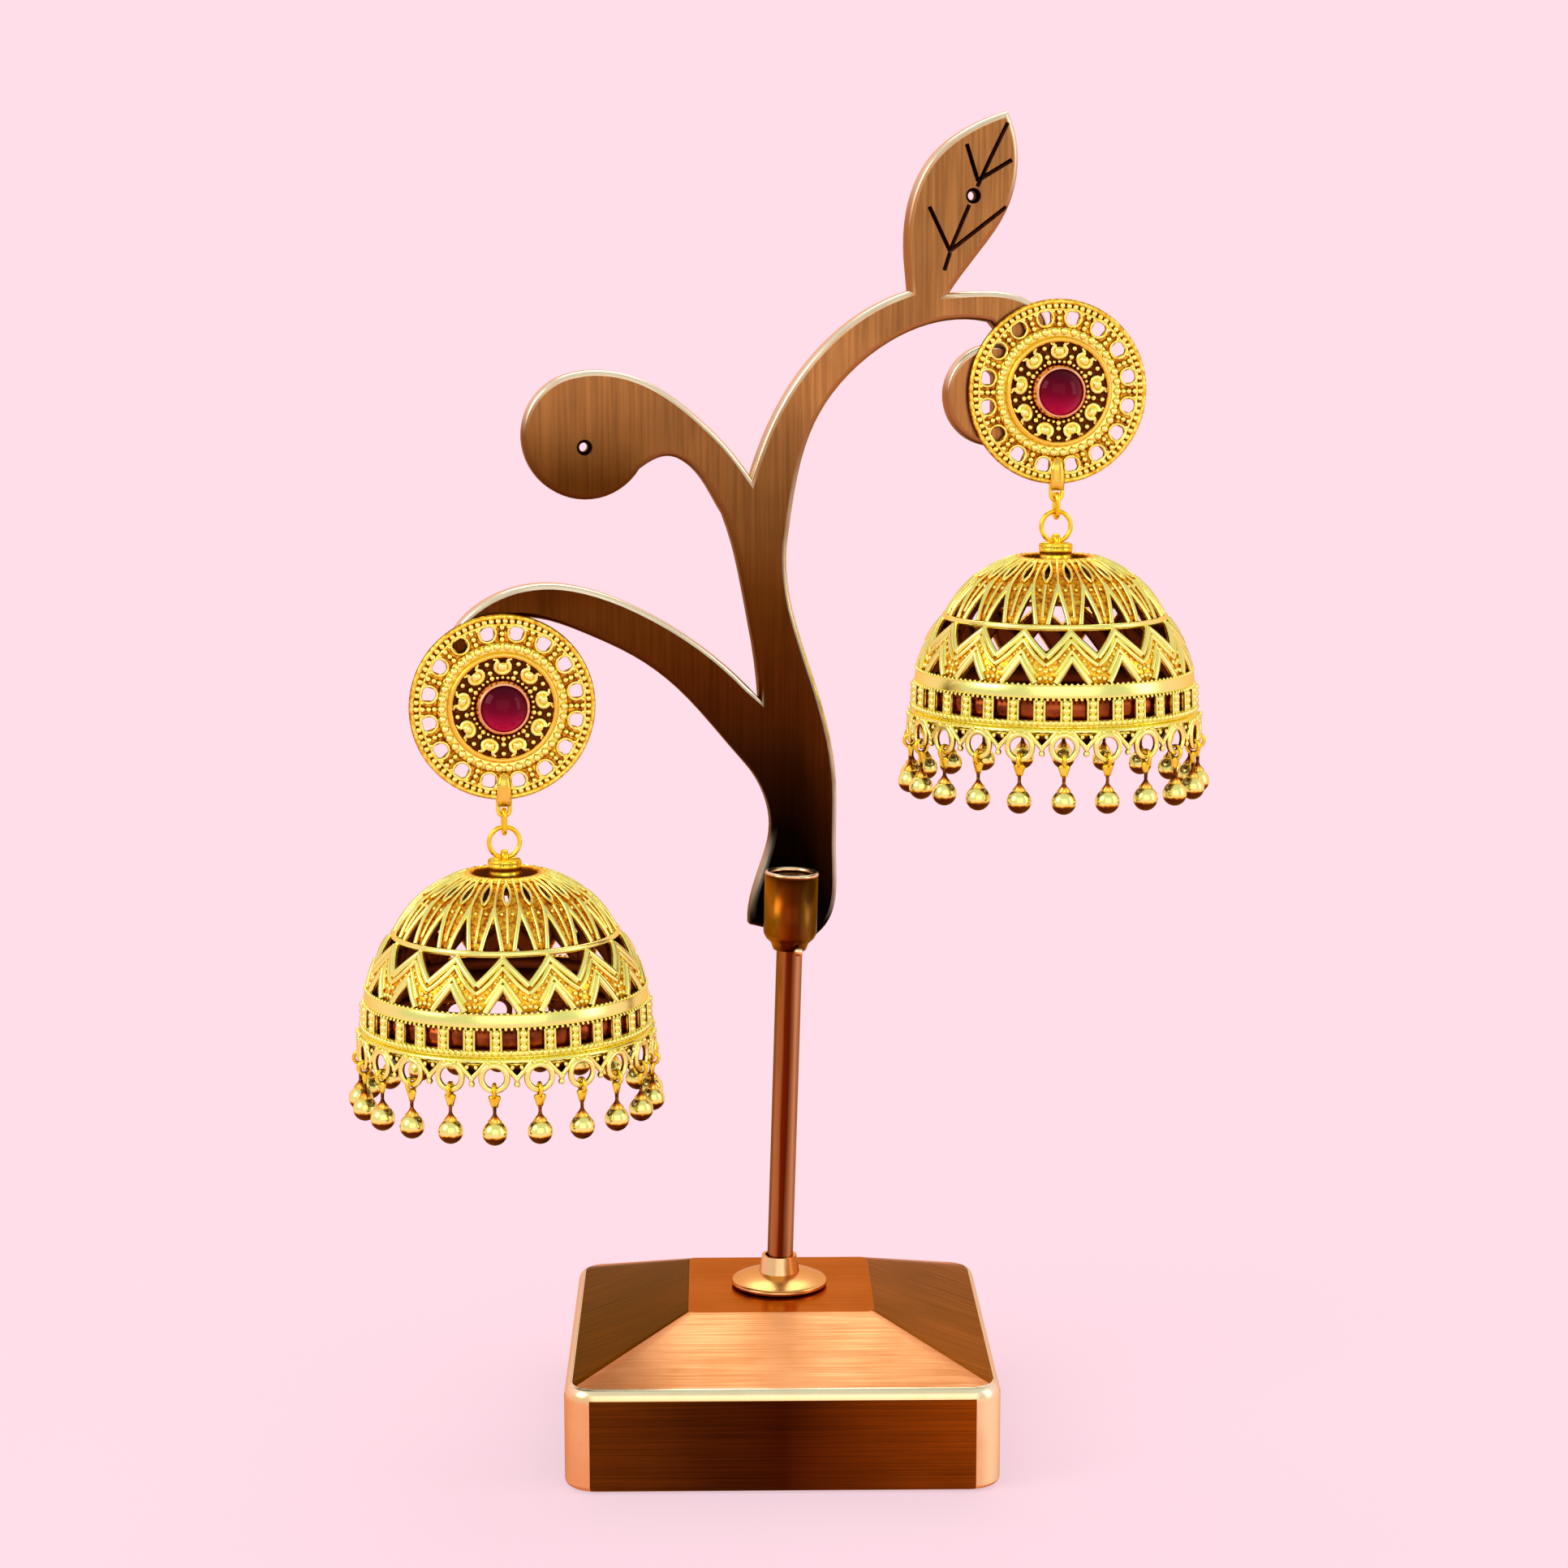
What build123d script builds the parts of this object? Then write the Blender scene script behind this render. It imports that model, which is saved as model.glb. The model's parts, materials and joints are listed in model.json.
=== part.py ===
"""A pair of jhumka earrings hanging on a copper display tree.

Frame: millimetres, +Z up, origin on the underside of the base, below the foot of the post.
The base is square to X and Y. The cut-out tree is turned a little about Z on its post, and both
earrings hang in front of it. An earring is modelled once, about the centre of its hanging ring
and with its stud facing -Y, and is then set on its branch.
"""

import math
import os

from build123d import *

os.makedirs("parts", exist_ok=True)

# ---------------------------------------------------------------- stand
BASE_WIDTH = 48.8
BASE_SIDE_HEIGHT = 11.5
PLATFORM_WIDTH = 21.4
PLATFORM_TOP = 16.4

POST_RADIUS = 1.5
POST_LEAN = 1.7  # degrees towards +X
POST_LENGTH = 45.0
GAP = 0.05  # between pieces that sit on each other

FLANGE_RADIUS = 5.6
COLLAR_RADIUS = 2.35
COLLAR_HEIGHT = 3.6

TREE_TURN = 10.0  # degrees about Z
SHEET_THICKNESS = 2.1
SHEET_FRONT = 2.5  # from the post's axis back to the sheet's front face
SOCKET_RADIUS = 3.1
SOCKET_BOTTOM = 41.4  # along the post, from the platform
SOCKET_TOP = 49.4
PEG_HOLE_RADIUS = 0.75
VEIN_WIDTH = 0.55
VEIN_DEPTH = 0.3

# places on the sheet: across from the post's axis, and up
RIGHT_STUD = (33.0, 120.3)
LEFT_STUD = (-31.5, 85.4)
FREE_DISC = (-21.6, 115.8)
DISC_RADIUS = 7.2
FREE_HOLE = (-21.8, 114.5)
LEAF_HOLE = (23.0, 142.5)
CURL = (25.9, 119.9)
CURL_RADIUS = 5.9
CURL_SLOT = (24.7, 119.9)
CURL_SLOT_WIDTH = 1.96
CURL_SLOT_LENGTH = 3.6

# ---------------------------------------------------------------- earring
STUD_TO_RING = 15.5  # stud centre above the ring's centre
STUD_TO_SHEET = 0.7  # from the plane of the ring back to the sheet
STUD_RADIUS = 10.6
STUD_BACK = 0.35
STUD_FLOOR = 0.3
STUD_HOLES = 16
STUD_HOLE_RADIUS = 0.88
STUD_HOLE_CIRCLE = 8.55
BEZEL_RADIUS = 3.0
STONE_RADIUS = 2.55
STONE_FOOT = 0.35
STONE_GIRDLE = 1.45
STONE_TOP = 2.75
EAR_POST_RADIUS = 0.45
EAR_POST_LENGTH = 9.5

RING_RADIUS = 1.75  # to the middle of the wire
RING_WIRE = 0.27
LOOP_WIRE = 0.26
LOOP_HALF_WIDTH = 0.66
LOOP_LEG = 1.7
TAB_WIDTH = 1.7
TAB_HEIGHT = 3.4
TAB_CENTRE = 3.2  # above the bottom of the loop
TAB_THICKNESS = 0.7
LINK_WIRE = 0.28
LINK_BEND = 0.72
LINK_REACH = 1.29  # between the centres of the link's two bends

CAP_RADIUS = 1.94
CAP_TOP = -1.9
EYE_HOLE = 0.47
EYE_RADIUS = 0.95
EYE_THICKNESS = 0.8
SLOT_WIDTH = 1.0
SLOT_FLOOR = -2.3

DOME_TOP = -3.6
DOME_RIM = -21.2
DOME_WALL = 0.85
DOME_FLOOR = 0.9
FLOOR_RADIUS = 3.7  # of the sunken floor that the cap stands on
RIM_RADIUS = 16.5
CROWN_WIRE = (0.7, 0.75)  # width and height of the raised wire and band
BROAD_BAND = (0.9, 1.3)
PETALS = 21
PETAL_GAP_START = 16.3  # azimuth of the first of each repeat, in degrees about the dome's axis
ZIGZAGS = 16
ZIGZAG_START = 14.6
WINDOWS = 34
WINDOW_HEIGHT = 2.1
WINDOW_WIDTH = 1.7
WINDOW_DEPTH = 1.2
LOOPS = 21
LOOP_START = 1.5
LOOP_CIRCLE = 16.8
LOOP_CENTRE = -23.4
LOOP_RADIUS = 1.43
LOOP_WIDTH = 0.62
LOOP_DEPTH = 0.45
BEAD_RADIUS = 1.4
BEAD_CENTRE = -29.6
EYE_RING_RADIUS = 0.72
EYE_RING_WIRE = 0.2
EYE_RING_CENTRE = LOOP_CENTRE - LOOP_RADIUS
STEM_RADIUS = 0.24
COLLAR_WIDTH = 0.8
COLLAR_RISE = 0.6  # above the bead

turn = math.radians(TREE_TURN)
lean = math.radians(POST_LEAN)


# ================================================================ base
BASE_SECTIONS = [  # width, corner radius, height
    (BASE_WIDTH - 0.8, 3.3, 0.0),
    (BASE_WIDTH, 3.6, 0.4),
    (BASE_WIDTH, 3.6, BASE_SIDE_HEIGHT - 1.3),
    (BASE_WIDTH - 0.3, 3.5, BASE_SIDE_HEIGHT - 0.6),
    (BASE_WIDTH - 0.9, 3.2, BASE_SIDE_HEIGHT - 0.1),
    (BASE_WIDTH - 2.2, 2.6, BASE_SIDE_HEIGHT + 0.3),
    (PLATFORM_WIDTH + 1.0, 1.2, PLATFORM_TOP - 0.2),
    (PLATFORM_WIDTH, 1.0, PLATFORM_TOP),
]

with BuildPart() as base:
    for lower, upper in zip(BASE_SECTIONS, BASE_SECTIONS[1:]):
        for width, corner, height in (lower, upper):
            with BuildSketch(Plane.XY.offset(height)):
                RectangleRounded(width, width, corner)
        loft(ruled=True)
base.part.label = "base"

# ================================================================ post and its flange
post_plane = Plane(
    origin=(0, 0, PLATFORM_TOP),
    x_dir=(math.cos(lean), 0, -math.sin(lean)),
    z_dir=(math.sin(lean), 0, math.cos(lean)),
)

with BuildPart() as post_flange:
    with BuildSketch(Plane.XZ):
        with BuildLine():
            under = PLATFORM_TOP + GAP
            foot = Line((0, under), (FLANGE_RADIUS - 0.3, under))
            lip = ThreePointArc(
                foot @ 1, (FLANGE_RADIUS, under + 0.4), (FLANGE_RADIUS - 0.35, under + 0.8)
            )
            bell = ThreePointArc(
                lip @ 1, (FLANGE_RADIUS - 1.8, under + 1.35), (COLLAR_RADIUS, under + 1.6)
            )
            Polyline(
                bell @ 1,
                (COLLAR_RADIUS - 0.35, under + COLLAR_HEIGHT),
                (0, under + COLLAR_HEIGHT),
                (0, under),
            )
        make_face()
    revolve(axis=Axis.Z)
    with BuildSketch(Plane.XY.offset(PLATFORM_TOP)):
        Circle(POST_RADIUS + 3 * GAP)
    extrude(amount=2 * COLLAR_HEIGHT, mode=Mode.SUBTRACT)
post_flange.part.label = "post_flange"

with BuildPart() as post:
    with BuildSketch(post_plane.offset(2 * GAP)):
        Circle(POST_RADIUS)
    extrude(amount=POST_LENGTH)
post.part.label = "post"

# ================================================================ cut-out tree
across = Vector(math.cos(turn), math.sin(turn), 0)
forward = Vector(math.sin(turn), -math.cos(turn), 0)
sheet_plane = Plane(origin=-forward * SHEET_FRONT, x_dir=across, z_dir=forward)

with BuildPart() as tree:
    # trunk and right branch, which ends against the top of the right stud's disc
    with BuildSketch(sheet_plane):
        with BuildLine():
            sole = Polyline((-2.9, 59.0), (0.0, 58.2), (3.9, 56.8))
            trunk_right = Spline(
                sole @ 1, (6.5, 59.2), (7.35, 67.0), (7.3, 76.0), (4.5, 88.2), (1.9, 97.0), (1.5, 103.0)
            )
            bough_under = Spline(
                trunk_right @ 1, (2.3, 108.6), (4.8, 117.1), (11.1, 124.5), (18.8, 128.2), (25.2, 128.2)
            )
            Polyline(bough_under @ 1, (28.4, 124.5), (33.0, 124.5), (32.0, 127.0))
            bough_top = Spline(
                (32.0, 127.0), (31.4, 129.3), (29.5, 130.8), (26.0, 131.7), (15.7, 131.8)
            )
            crotch = Spline(bough_top @ 1, (8.6, 128.2), (1.5, 120.4), (-1.0, 115.6), (-2.7, 110.9))
            notch = Line(crotch @ 1, (-5.9, 106.7))
            trunk_left = Spline(notch @ 1, (-4.5, 102.3), (-3.3, 96.5), (-2.2, 90.3), (-1.7, 85.4))
            hip = Line(trunk_left @ 1, (-3.2, 77.7))
            Spline(hip @ 1, (-1.3, 74.7), (-0.35, 70.2), (-1.5, 65.6), (-2.9, 59.0))
        make_face()
    extrude(amount=-SHEET_THICKNESS)
    # middle left branch
    with BuildSketch(sheet_plane):
        with BuildLine():
            top = Spline((-2.7, 110.9), (-4.9, 113.9), (-9.0, 118.0), (-13.4, 121.2), (-21.6, 123.1))
            under = Spline(
                (-18.4, 109.4), (-14.6, 112.6), (-12.3, 113.4), (-9.4, 112.0), (-7.0, 108.6), (-5.9, 106.7)
            )
            Line(top @ 1, under @ 0)
            Line(under @ 1, top @ 0)
        make_face()
    extrude(amount=-SHEET_THICKNESS)
    # lower left branch, curling over and down to the left stud's disc
    with BuildSketch(sheet_plane):
        with BuildLine():
            top = Spline(
                (-1.7, 85.4), (-8.0, 91.4), (-14.5, 95.6), (-20.2, 98.1),
                (-26.3, 99.2), (-32.6, 97.7), (-37.0, 93.6), (-37.4, 89.0),
            )
            under = Spline(
                (-34.4, 91.0), (-33.6, 94.0), (-29.6, 95.4), (-21.8, 93.4),
                (-16.0, 90.5), (-11.4, 87.0), (-6.9, 82.1), (-3.2, 77.7),
            )
            Line(top @ 1, under @ 0)
            Line(under @ 1, top @ 0)
        make_face()
    extrude(amount=-SHEET_THICKNESS)
    # discs at the branches' ends, and the pierced curl beside the right one
    with BuildSketch(sheet_plane):
        with Locations(FREE_DISC, LEFT_STUD, RIGHT_STUD):
            Circle(DISC_RADIUS)
    extrude(amount=-SHEET_THICKNESS)
    with BuildSketch(sheet_plane):
        with Locations(CURL):
            Circle(CURL_RADIUS)
        with Locations(CURL_SLOT):
            SlotCenterToCenter(CURL_SLOT_LENGTH, CURL_SLOT_WIDTH, rotation=90, mode=Mode.SUBTRACT)
    extrude(amount=-SHEET_THICKNESS)
    # leaf
    with BuildSketch(sheet_plane):
        with BuildLine():
            left_edge = Spline(
                (16.0, 130.6), (15.35, 135.5), (15.7, 141.2), (18.2, 146.7), (22.4, 150.1), (27.0, 152.0)
            )
            right_edge = Spline(
                left_edge @ 1, (28.3, 147.0), (27.2, 141.2), (23.9, 136.2), (19.8, 130.6)
            )
            Line(right_edge @ 1, left_edge @ 0)
        make_face()
    extrude(amount=-SHEET_THICKNESS)
    # holes for ear posts, and the leaf's engraved veins
    with BuildSketch(sheet_plane):
        with Locations(RIGHT_STUD, LEFT_STUD, FREE_HOLE, LEAF_HOLE):
            Circle(PEG_HOLE_RADIUS)
    extrude(amount=-SHEET_THICKNESS, mode=Mode.SUBTRACT)
    with BuildSketch(sheet_plane):
        with BuildLine():
            Spline((19.7, 134.2), (20.6, 137.0), (22.5, 141.4))
            Spline((23.5, 143.6), (25.0, 146.8), (26.9, 150.6))
            Polyline((17.9, 141.2), (20.3, 136.3), (26.8, 141.2))
            Polyline((22.2, 148.2), (23.5, 144.2), (27.4, 146.5))
        trace(line_width=VEIN_WIDTH)
    extrude(amount=-VEIN_DEPTH, mode=Mode.SUBTRACT)
    # socket soldered to the front of the trunk's foot, round the top of the post
    with BuildSketch(Plane(post_plane.origin, x_dir=post_plane.x_dir, z_dir=-post_plane.y_dir)):
        with BuildLine():
            neck = Polyline(
                (0, SOCKET_BOTTOM - 1.2),
                (POST_RADIUS + 0.4, SOCKET_BOTTOM - 1.2),
                (POST_RADIUS + 0.7, SOCKET_BOTTOM - 0.4),
            )
            belly = ThreePointArc(
                neck @ 1,
                (SOCKET_RADIUS - 0.35, SOCKET_BOTTOM + 0.1),
                (SOCKET_RADIUS, SOCKET_BOTTOM + 0.9),
            )
            side = Line(belly @ 1, (SOCKET_RADIUS, SOCKET_TOP - 0.4))
            Polyline(side @ 1, (SOCKET_RADIUS - 0.4, SOCKET_TOP), (0, SOCKET_TOP), neck @ 0)
        make_face()
    revolve(axis=Axis(post_plane.origin, post_plane.z_dir))
    with BuildSketch(post_plane.offset(SOCKET_BOTTOM - 2)):
        Circle(POST_RADIUS + GAP)
    extrude(amount=POST_LENGTH + 3 * GAP - SOCKET_BOTTOM + 2, mode=Mode.SUBTRACT)
tree.part.label = "tree"


# ================================================================ one earring
# Local frame: X to the right, Y to the back, Z up, origin at the centre of the hanging ring.
STUD_PLANE = Plane(origin=(0, 0, STUD_TO_RING), x_dir=(1, 0, 0), z_dir=(0, -1, 0))

# front of the stud: radius and height of each step in front of its plane, from the rim inwards
STUD_STEPS = [
    (STUD_RADIUS, 0.05),
    (STUD_RADIUS - 0.12, 0.4),
    (STUD_RADIUS - 0.5, 0.4),
    (STUD_RADIUS - 0.62, 0.15),
    (9.75, 0.45),
    (9.5, 0.15),
    (7.55, 0.15),
    (7.2, 0.6),
    (6.5, 0.75),
    (6.2, 0.35),
    (6.05, 0.95),
    (5.7, 0.95),
    (5.5, STUD_FLOOR),
    (3.6, 0.45),
    (3.35, STUD_FLOOR),
    (BEZEL_RADIUS, 0.35),
    (BEZEL_RADIUS - 0.1, 1.5),
    (STONE_RADIUS + 0.1, 1.65),
    (STONE_RADIUS + GAP, STUD_FLOOR),
]

with BuildPart() as stud:
    with BuildSketch(Plane.XZ):
        with BuildLine():
            # drawn in X and Z about the stud's centre, then turned to face -Y
            Polyline(
                (0, -STUD_BACK),
                (STUD_RADIUS - 0.1, -STUD_BACK),
                *STUD_STEPS,
                (0, STUD_FLOOR),
                (0, -STUD_BACK),
            )
        make_face()
    revolve(axis=Axis.Z)
    with BuildSketch(Plane.XY.offset(-STUD_BACK)):
        with PolarLocations(STUD_HOLE_CIRCLE, STUD_HOLES, start_angle=180 / STUD_HOLES):
            Circle(STUD_HOLE_RADIUS)
    extrude(amount=2, mode=Mode.SUBTRACT)
    # ear post
    with BuildSketch(Plane.XY.offset(-STUD_BACK)):
        Circle(EAR_POST_RADIUS)
    extrude(amount=-EAR_POST_LENGTH)
    # tab over the lower rim, and the wire loop that carries the link
    loop_bottom = RING_RADIUS + LINK_REACH - STUD_TO_RING
    with BuildSketch(Plane.XY.offset(0.1)):
        with Locations((0, loop_bottom + TAB_CENTRE)):
            Trapezoid(TAB_WIDTH, TAB_HEIGHT, 97)
    extrude(amount=TAB_THICKNESS)
    with BuildLine() as loop_path:
        bend = loop_bottom + LOOP_HALF_WIDTH
        down = Line((-LOOP_HALF_WIDTH, bend + LOOP_LEG), (-LOOP_HALF_WIDTH, bend))
        curve = ThreePointArc(down @ 1, (0, loop_bottom), (LOOP_HALF_WIDTH, bend))
        Line(curve @ 1, (LOOP_HALF_WIDTH, bend + LOOP_LEG))
    with BuildSketch(Plane(origin=down @ 0, z_dir=down % 0)):
        Circle(LOOP_WIRE)
    sweep(path=loop_path.line)

# radius of the sphere whose cap is the stone's polished top
STONE_RISE = STONE_TOP - STONE_GIRDLE
STONE_CURVE = (STONE_RADIUS**2 + STONE_RISE**2) / (2 * STONE_RISE)

with BuildPart() as stone:
    with BuildSketch(Plane.XZ):
        with BuildLine():
            girdle = Polyline(
                (0, STONE_FOOT), (STONE_RADIUS, STONE_FOOT), (STONE_RADIUS, STONE_GIRDLE)
            )
            polished = RadiusArc(girdle @ 1, (0, STONE_TOP), -STONE_CURVE)
            Line(polished @ 1, girdle @ 0)
        make_face()
    revolve(axis=Axis.Z)

with BuildPart() as link:
    with BuildLine() as link_path:
        low = RING_RADIUS
        high = RING_RADIUS + LINK_REACH
        rise = Line((0, LINK_BEND, low), (0, LINK_BEND, high))
        over = ThreePointArc(rise @ 1, (0, 0, high + LINK_BEND), (0, -LINK_BEND, high))
        fall = Line(over @ 1, (0, -LINK_BEND, low))
        ThreePointArc(fall @ 1, (0, 0, low - LINK_BEND), rise @ 0)
    with BuildSketch(Plane(origin=rise @ 0, z_dir=rise % 0)):
        Circle(LINK_WIRE)
    sweep(path=link_path.line)

with BuildPart() as ring:
    with BuildSketch(Plane.XY):
        with Locations((RING_RADIUS, 0)):
            Circle(RING_WIRE)
    revolve(axis=Axis.Y)

# ---------------------------------------------------------------- dome
# outside of the dome: crown, then the lower wall, as radius and height
CROWN = ((4.65, DOME_TOP), (9.8, DOME_TOP - 2.9), (12.45, DOME_TOP - 6.5))
WALL = ((12.7, DOME_TOP - 6.9), (15.3, DOME_TOP - 11.6), (16.1, DOME_TOP - 16.4))


def radial_plane(radius, height, slope):
    """A plane whose normal points out of the dome at azimuth 0, tilted up by slope degrees."""
    tilt = math.radians(slope)
    return Plane(
        origin=(radius, 0, height),
        x_dir=(0, 1, 0),
        z_dir=(math.cos(tilt), 0, math.sin(tilt)),
    )


def wedge(width_low, width_high, height):
    """A closed outline with level lower and upper edges, centred on the current plane."""
    return Polyline(
        (-width_low / 2, -height / 2),
        (width_low / 2, -height / 2),
        (width_high / 2, height / 2),
        (-width_high / 2, height / 2),
        close=True,
    )


def gap_cutter(radius, height, slope, width_low, width_high, tall):
    """A radial prism through the dome's wall at azimuth 0."""
    with BuildPart() as cutter:
        with BuildSketch(radial_plane(radius, height, slope)):
            with BuildLine():
                wedge(width_low, width_high, tall)
            make_face()
        extrude(amount=1.5, both=True)
    return cutter.part


petal_gap = gap_cutter(
    radius=11.1, height=DOME_TOP - 4.6, slope=38, width_low=2.1, width_high=0.5, tall=2.6
)
upper_gap = gap_cutter(
    radius=13.6, height=DOME_TOP - 8.5, slope=28, width_low=0.5, width_high=3.0, tall=2.0
)
lower_gap = gap_cutter(
    radius=14.9, height=DOME_TOP - 11.2, slope=16, width_low=2.7, width_high=0.5, tall=2.2
)

with BuildPart() as skirt_loop:
    with BuildSketch(Plane.YZ.offset(LOOP_CIRCLE)):
        with Locations((0, LOOP_CENTRE)):
            RegularPolygon(LOOP_RADIUS + LOOP_WIDTH / 2, 16, major_radius=False)
            RegularPolygon(
                LOOP_RADIUS - LOOP_WIDTH / 2, 16, major_radius=False, mode=Mode.SUBTRACT
            )
    extrude(amount=LOOP_DEPTH / 2, both=True)

with BuildPart() as dome:
    with BuildSketch(Plane.XZ):
        with BuildLine():
            # underside of the floor below the cap, then up the inside wall
            crown = ThreePointArc(*CROWN)
            Line(crown @ 1, WALL[0])
            wall = ThreePointArc(*WALL)
            band = Polyline(
                wall @ 1,
                (RIM_RADIUS, DOME_RIM + 0.75),
                (RIM_RADIUS, DOME_RIM + 0.15),
                (LOOP_CIRCLE, DOME_RIM - 0.65),
                (RIM_RADIUS - 0.55, DOME_RIM - 0.65),
                (RIM_RADIUS - 1.25, DOME_RIM + 0.4),
            )
            inner_wall = ThreePointArc(
                band @ 1, (15.3 - DOME_WALL, DOME_TOP - 11.8), (12.0, DOME_TOP - 7.4)
            )
            inner_crown = ThreePointArc(
                inner_wall @ 1, (9.3, DOME_TOP - 3.6), (5.0, DOME_TOP - 1.5)
            )
            floor = DOME_TOP - 1.0
            Polyline(
                inner_crown @ 1,
                (FLOOR_RADIUS + 0.5, floor - DOME_FLOOR),
                (0, floor - DOME_FLOOR),
                (0, floor),
                (FLOOR_RADIUS, floor),
                (FLOOR_RADIUS, DOME_TOP + 0.1),
                (FLOOR_RADIUS + 0.7, DOME_TOP + 0.15),
                CROWN[0],
            )
        make_face()
    revolve(axis=Axis.Z)
    # raised bands: the pale wire round the crown, and the broad band over the windows
    with BuildSketch(Plane.XZ):
        with Locations((12.75, DOME_TOP - 6.75)):
            Rectangle(*CROWN_WIRE, rotation=-25)
        with Locations((15.75, DOME_TOP - 13.6)):
            Rectangle(*BROAD_BAND, rotation=-8)
    revolve(axis=Axis.Z)
    # windows, sunk between their posts
    with BuildSketch(Plane.XY.offset(DOME_RIM + 0.95)):
        with PolarLocations(RIM_RADIUS - 0.25, WINDOWS):
            Rectangle(WINDOW_DEPTH, WINDOW_WIDTH)
    extrude(amount=WINDOW_HEIGHT, mode=Mode.SUBTRACT)
    # pierced gaps
    with PolarLocations(0, PETALS, start_angle=PETAL_GAP_START):
        add(petal_gap, mode=Mode.SUBTRACT)
    with PolarLocations(0, ZIGZAGS, start_angle=ZIGZAG_START):
        add(lower_gap, mode=Mode.SUBTRACT)
    with PolarLocations(0, ZIGZAGS, start_angle=ZIGZAG_START + 180 / ZIGZAGS):
        add(upper_gap, mode=Mode.SUBTRACT)
    # cap with its slot and eye for the hanging ring
    with BuildSketch(Plane.XZ):
        with BuildLine():
            Polyline(
                (0, DOME_TOP - 1.2),
                (1.5, DOME_TOP - 1.2),
                (1.75, DOME_TOP - 0.4),
                (2.05, DOME_TOP - 0.1),
                (1.7, DOME_TOP + 0.2),
                (CAP_RADIUS, DOME_TOP + 0.6),
                (CAP_RADIUS, CAP_TOP - 0.25),
                (CAP_RADIUS - 0.3, CAP_TOP),
                (0, CAP_TOP),
                close=True,
            )
        make_face()
    revolve(axis=Axis.Z)
    with BuildSketch(Plane.XY.offset(SLOT_FLOOR)):
        Rectangle(3 * CAP_RADIUS, SLOT_WIDTH)
    extrude(amount=3, mode=Mode.SUBTRACT)
    with BuildSketch(Plane.YZ):
        with Locations((0, -RING_RADIUS)):
            Circle(EYE_RADIUS)
            Circle(EYE_HOLE, mode=Mode.SUBTRACT)
    extrude(amount=EYE_THICKNESS / 2, both=True)
    # loops of the skirt, soldered under the rim
    with PolarLocations(0, LOOPS, start_angle=LOOP_START):
        add(skirt_loop.part)

with BuildPart() as drop:
    # eye ring through the skirt loop, then stem, collar and bead hanging from it
    with BuildSketch(Plane.XY.offset(EYE_RING_CENTRE)):
        with Locations((LOOP_CIRCLE + EYE_RING_RADIUS, 0)):
            Circle(EYE_RING_WIRE)
    revolve(axis=Axis((LOOP_CIRCLE, 0, EYE_RING_CENTRE), (0, 1, 0)))
    with BuildSketch(Plane.XZ):
        with BuildLine():
            neck_top = EYE_RING_CENTRE - EYE_RING_RADIUS + 0.05
            collar_top = BEAD_CENTRE + BEAD_RADIUS + COLLAR_RISE
            shank = Polyline(
                (LOOP_CIRCLE, neck_top),
                (LOOP_CIRCLE + 0.3, neck_top),
                (LOOP_CIRCLE + STEM_RADIUS, neck_top - 0.5),
                (LOOP_CIRCLE + 0.28, collar_top),
                (LOOP_CIRCLE + COLLAR_WIDTH, BEAD_CENTRE + BEAD_RADIUS * 0.88),
            )
            bulge = ThreePointArc(
                (LOOP_CIRCLE + BEAD_RADIUS * math.sin(0.6), BEAD_CENTRE + BEAD_RADIUS * math.cos(0.6)),
                (LOOP_CIRCLE + BEAD_RADIUS, BEAD_CENTRE),
                (LOOP_CIRCLE, BEAD_CENTRE - BEAD_RADIUS),
            )
            Line(shank @ 1, bulge @ 0)
            Line(bulge @ 1, shank @ 0)
        make_face()
    revolve(axis=Axis((LOOP_CIRCLE, 0, 0), (0, 0, 1)))

with BuildPart() as drops:
    with PolarLocations(0, LOOPS, start_angle=LOOP_START):
        add(drop.part)

# ================================================================ placing and writing
def seat(stud_place):
    """The plane of an earring whose stud is at this place on the sheet."""
    out, up = stud_place
    centre = across * out - forward * (SHEET_FRONT - STUD_TO_SHEET)
    return Plane(centre + Vector(0, 0, up - STUD_TO_RING), x_dir=across, z_dir=(0, 0, 1))


for piece in (base, post_flange, post, tree):
    export_step(piece.part, f"parts/{piece.part.label}.step")

EARRING = {"link": link, "ring": ring, "dome": dome, "drops": drops}
SETTING = {"stud": stud, "stone": stone}
for side, place in (("left", LEFT_STUD), ("right", RIGHT_STUD)):
    hang = seat(place).location
    for name, piece in {**EARRING, **SETTING}.items():
        turned = hang * STUD_PLANE.location if name in SETTING else hang
        placed = piece.part.moved(turned)
        placed.label = f"{side}_{name}"
        export_step(placed, f"parts/{placed.label}.step")
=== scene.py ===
"""Two jhumka earrings hanging on a copper tree: the wirework, the finishes, the light and the camera.

A piece is made in millimetres about its own centre, from wires, grains, plates and turned bands
that are soldered together, and is then set at its place in the frame, in metres. The outline of a
turned piece is a list of (radius, height) points.
"""

import json
import math
from functools import partialmethod

import bmesh
import bpy
import numpy as np
from mathutils import Matrix, Vector
from mathutils.geometry import tessellate_polygon


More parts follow.
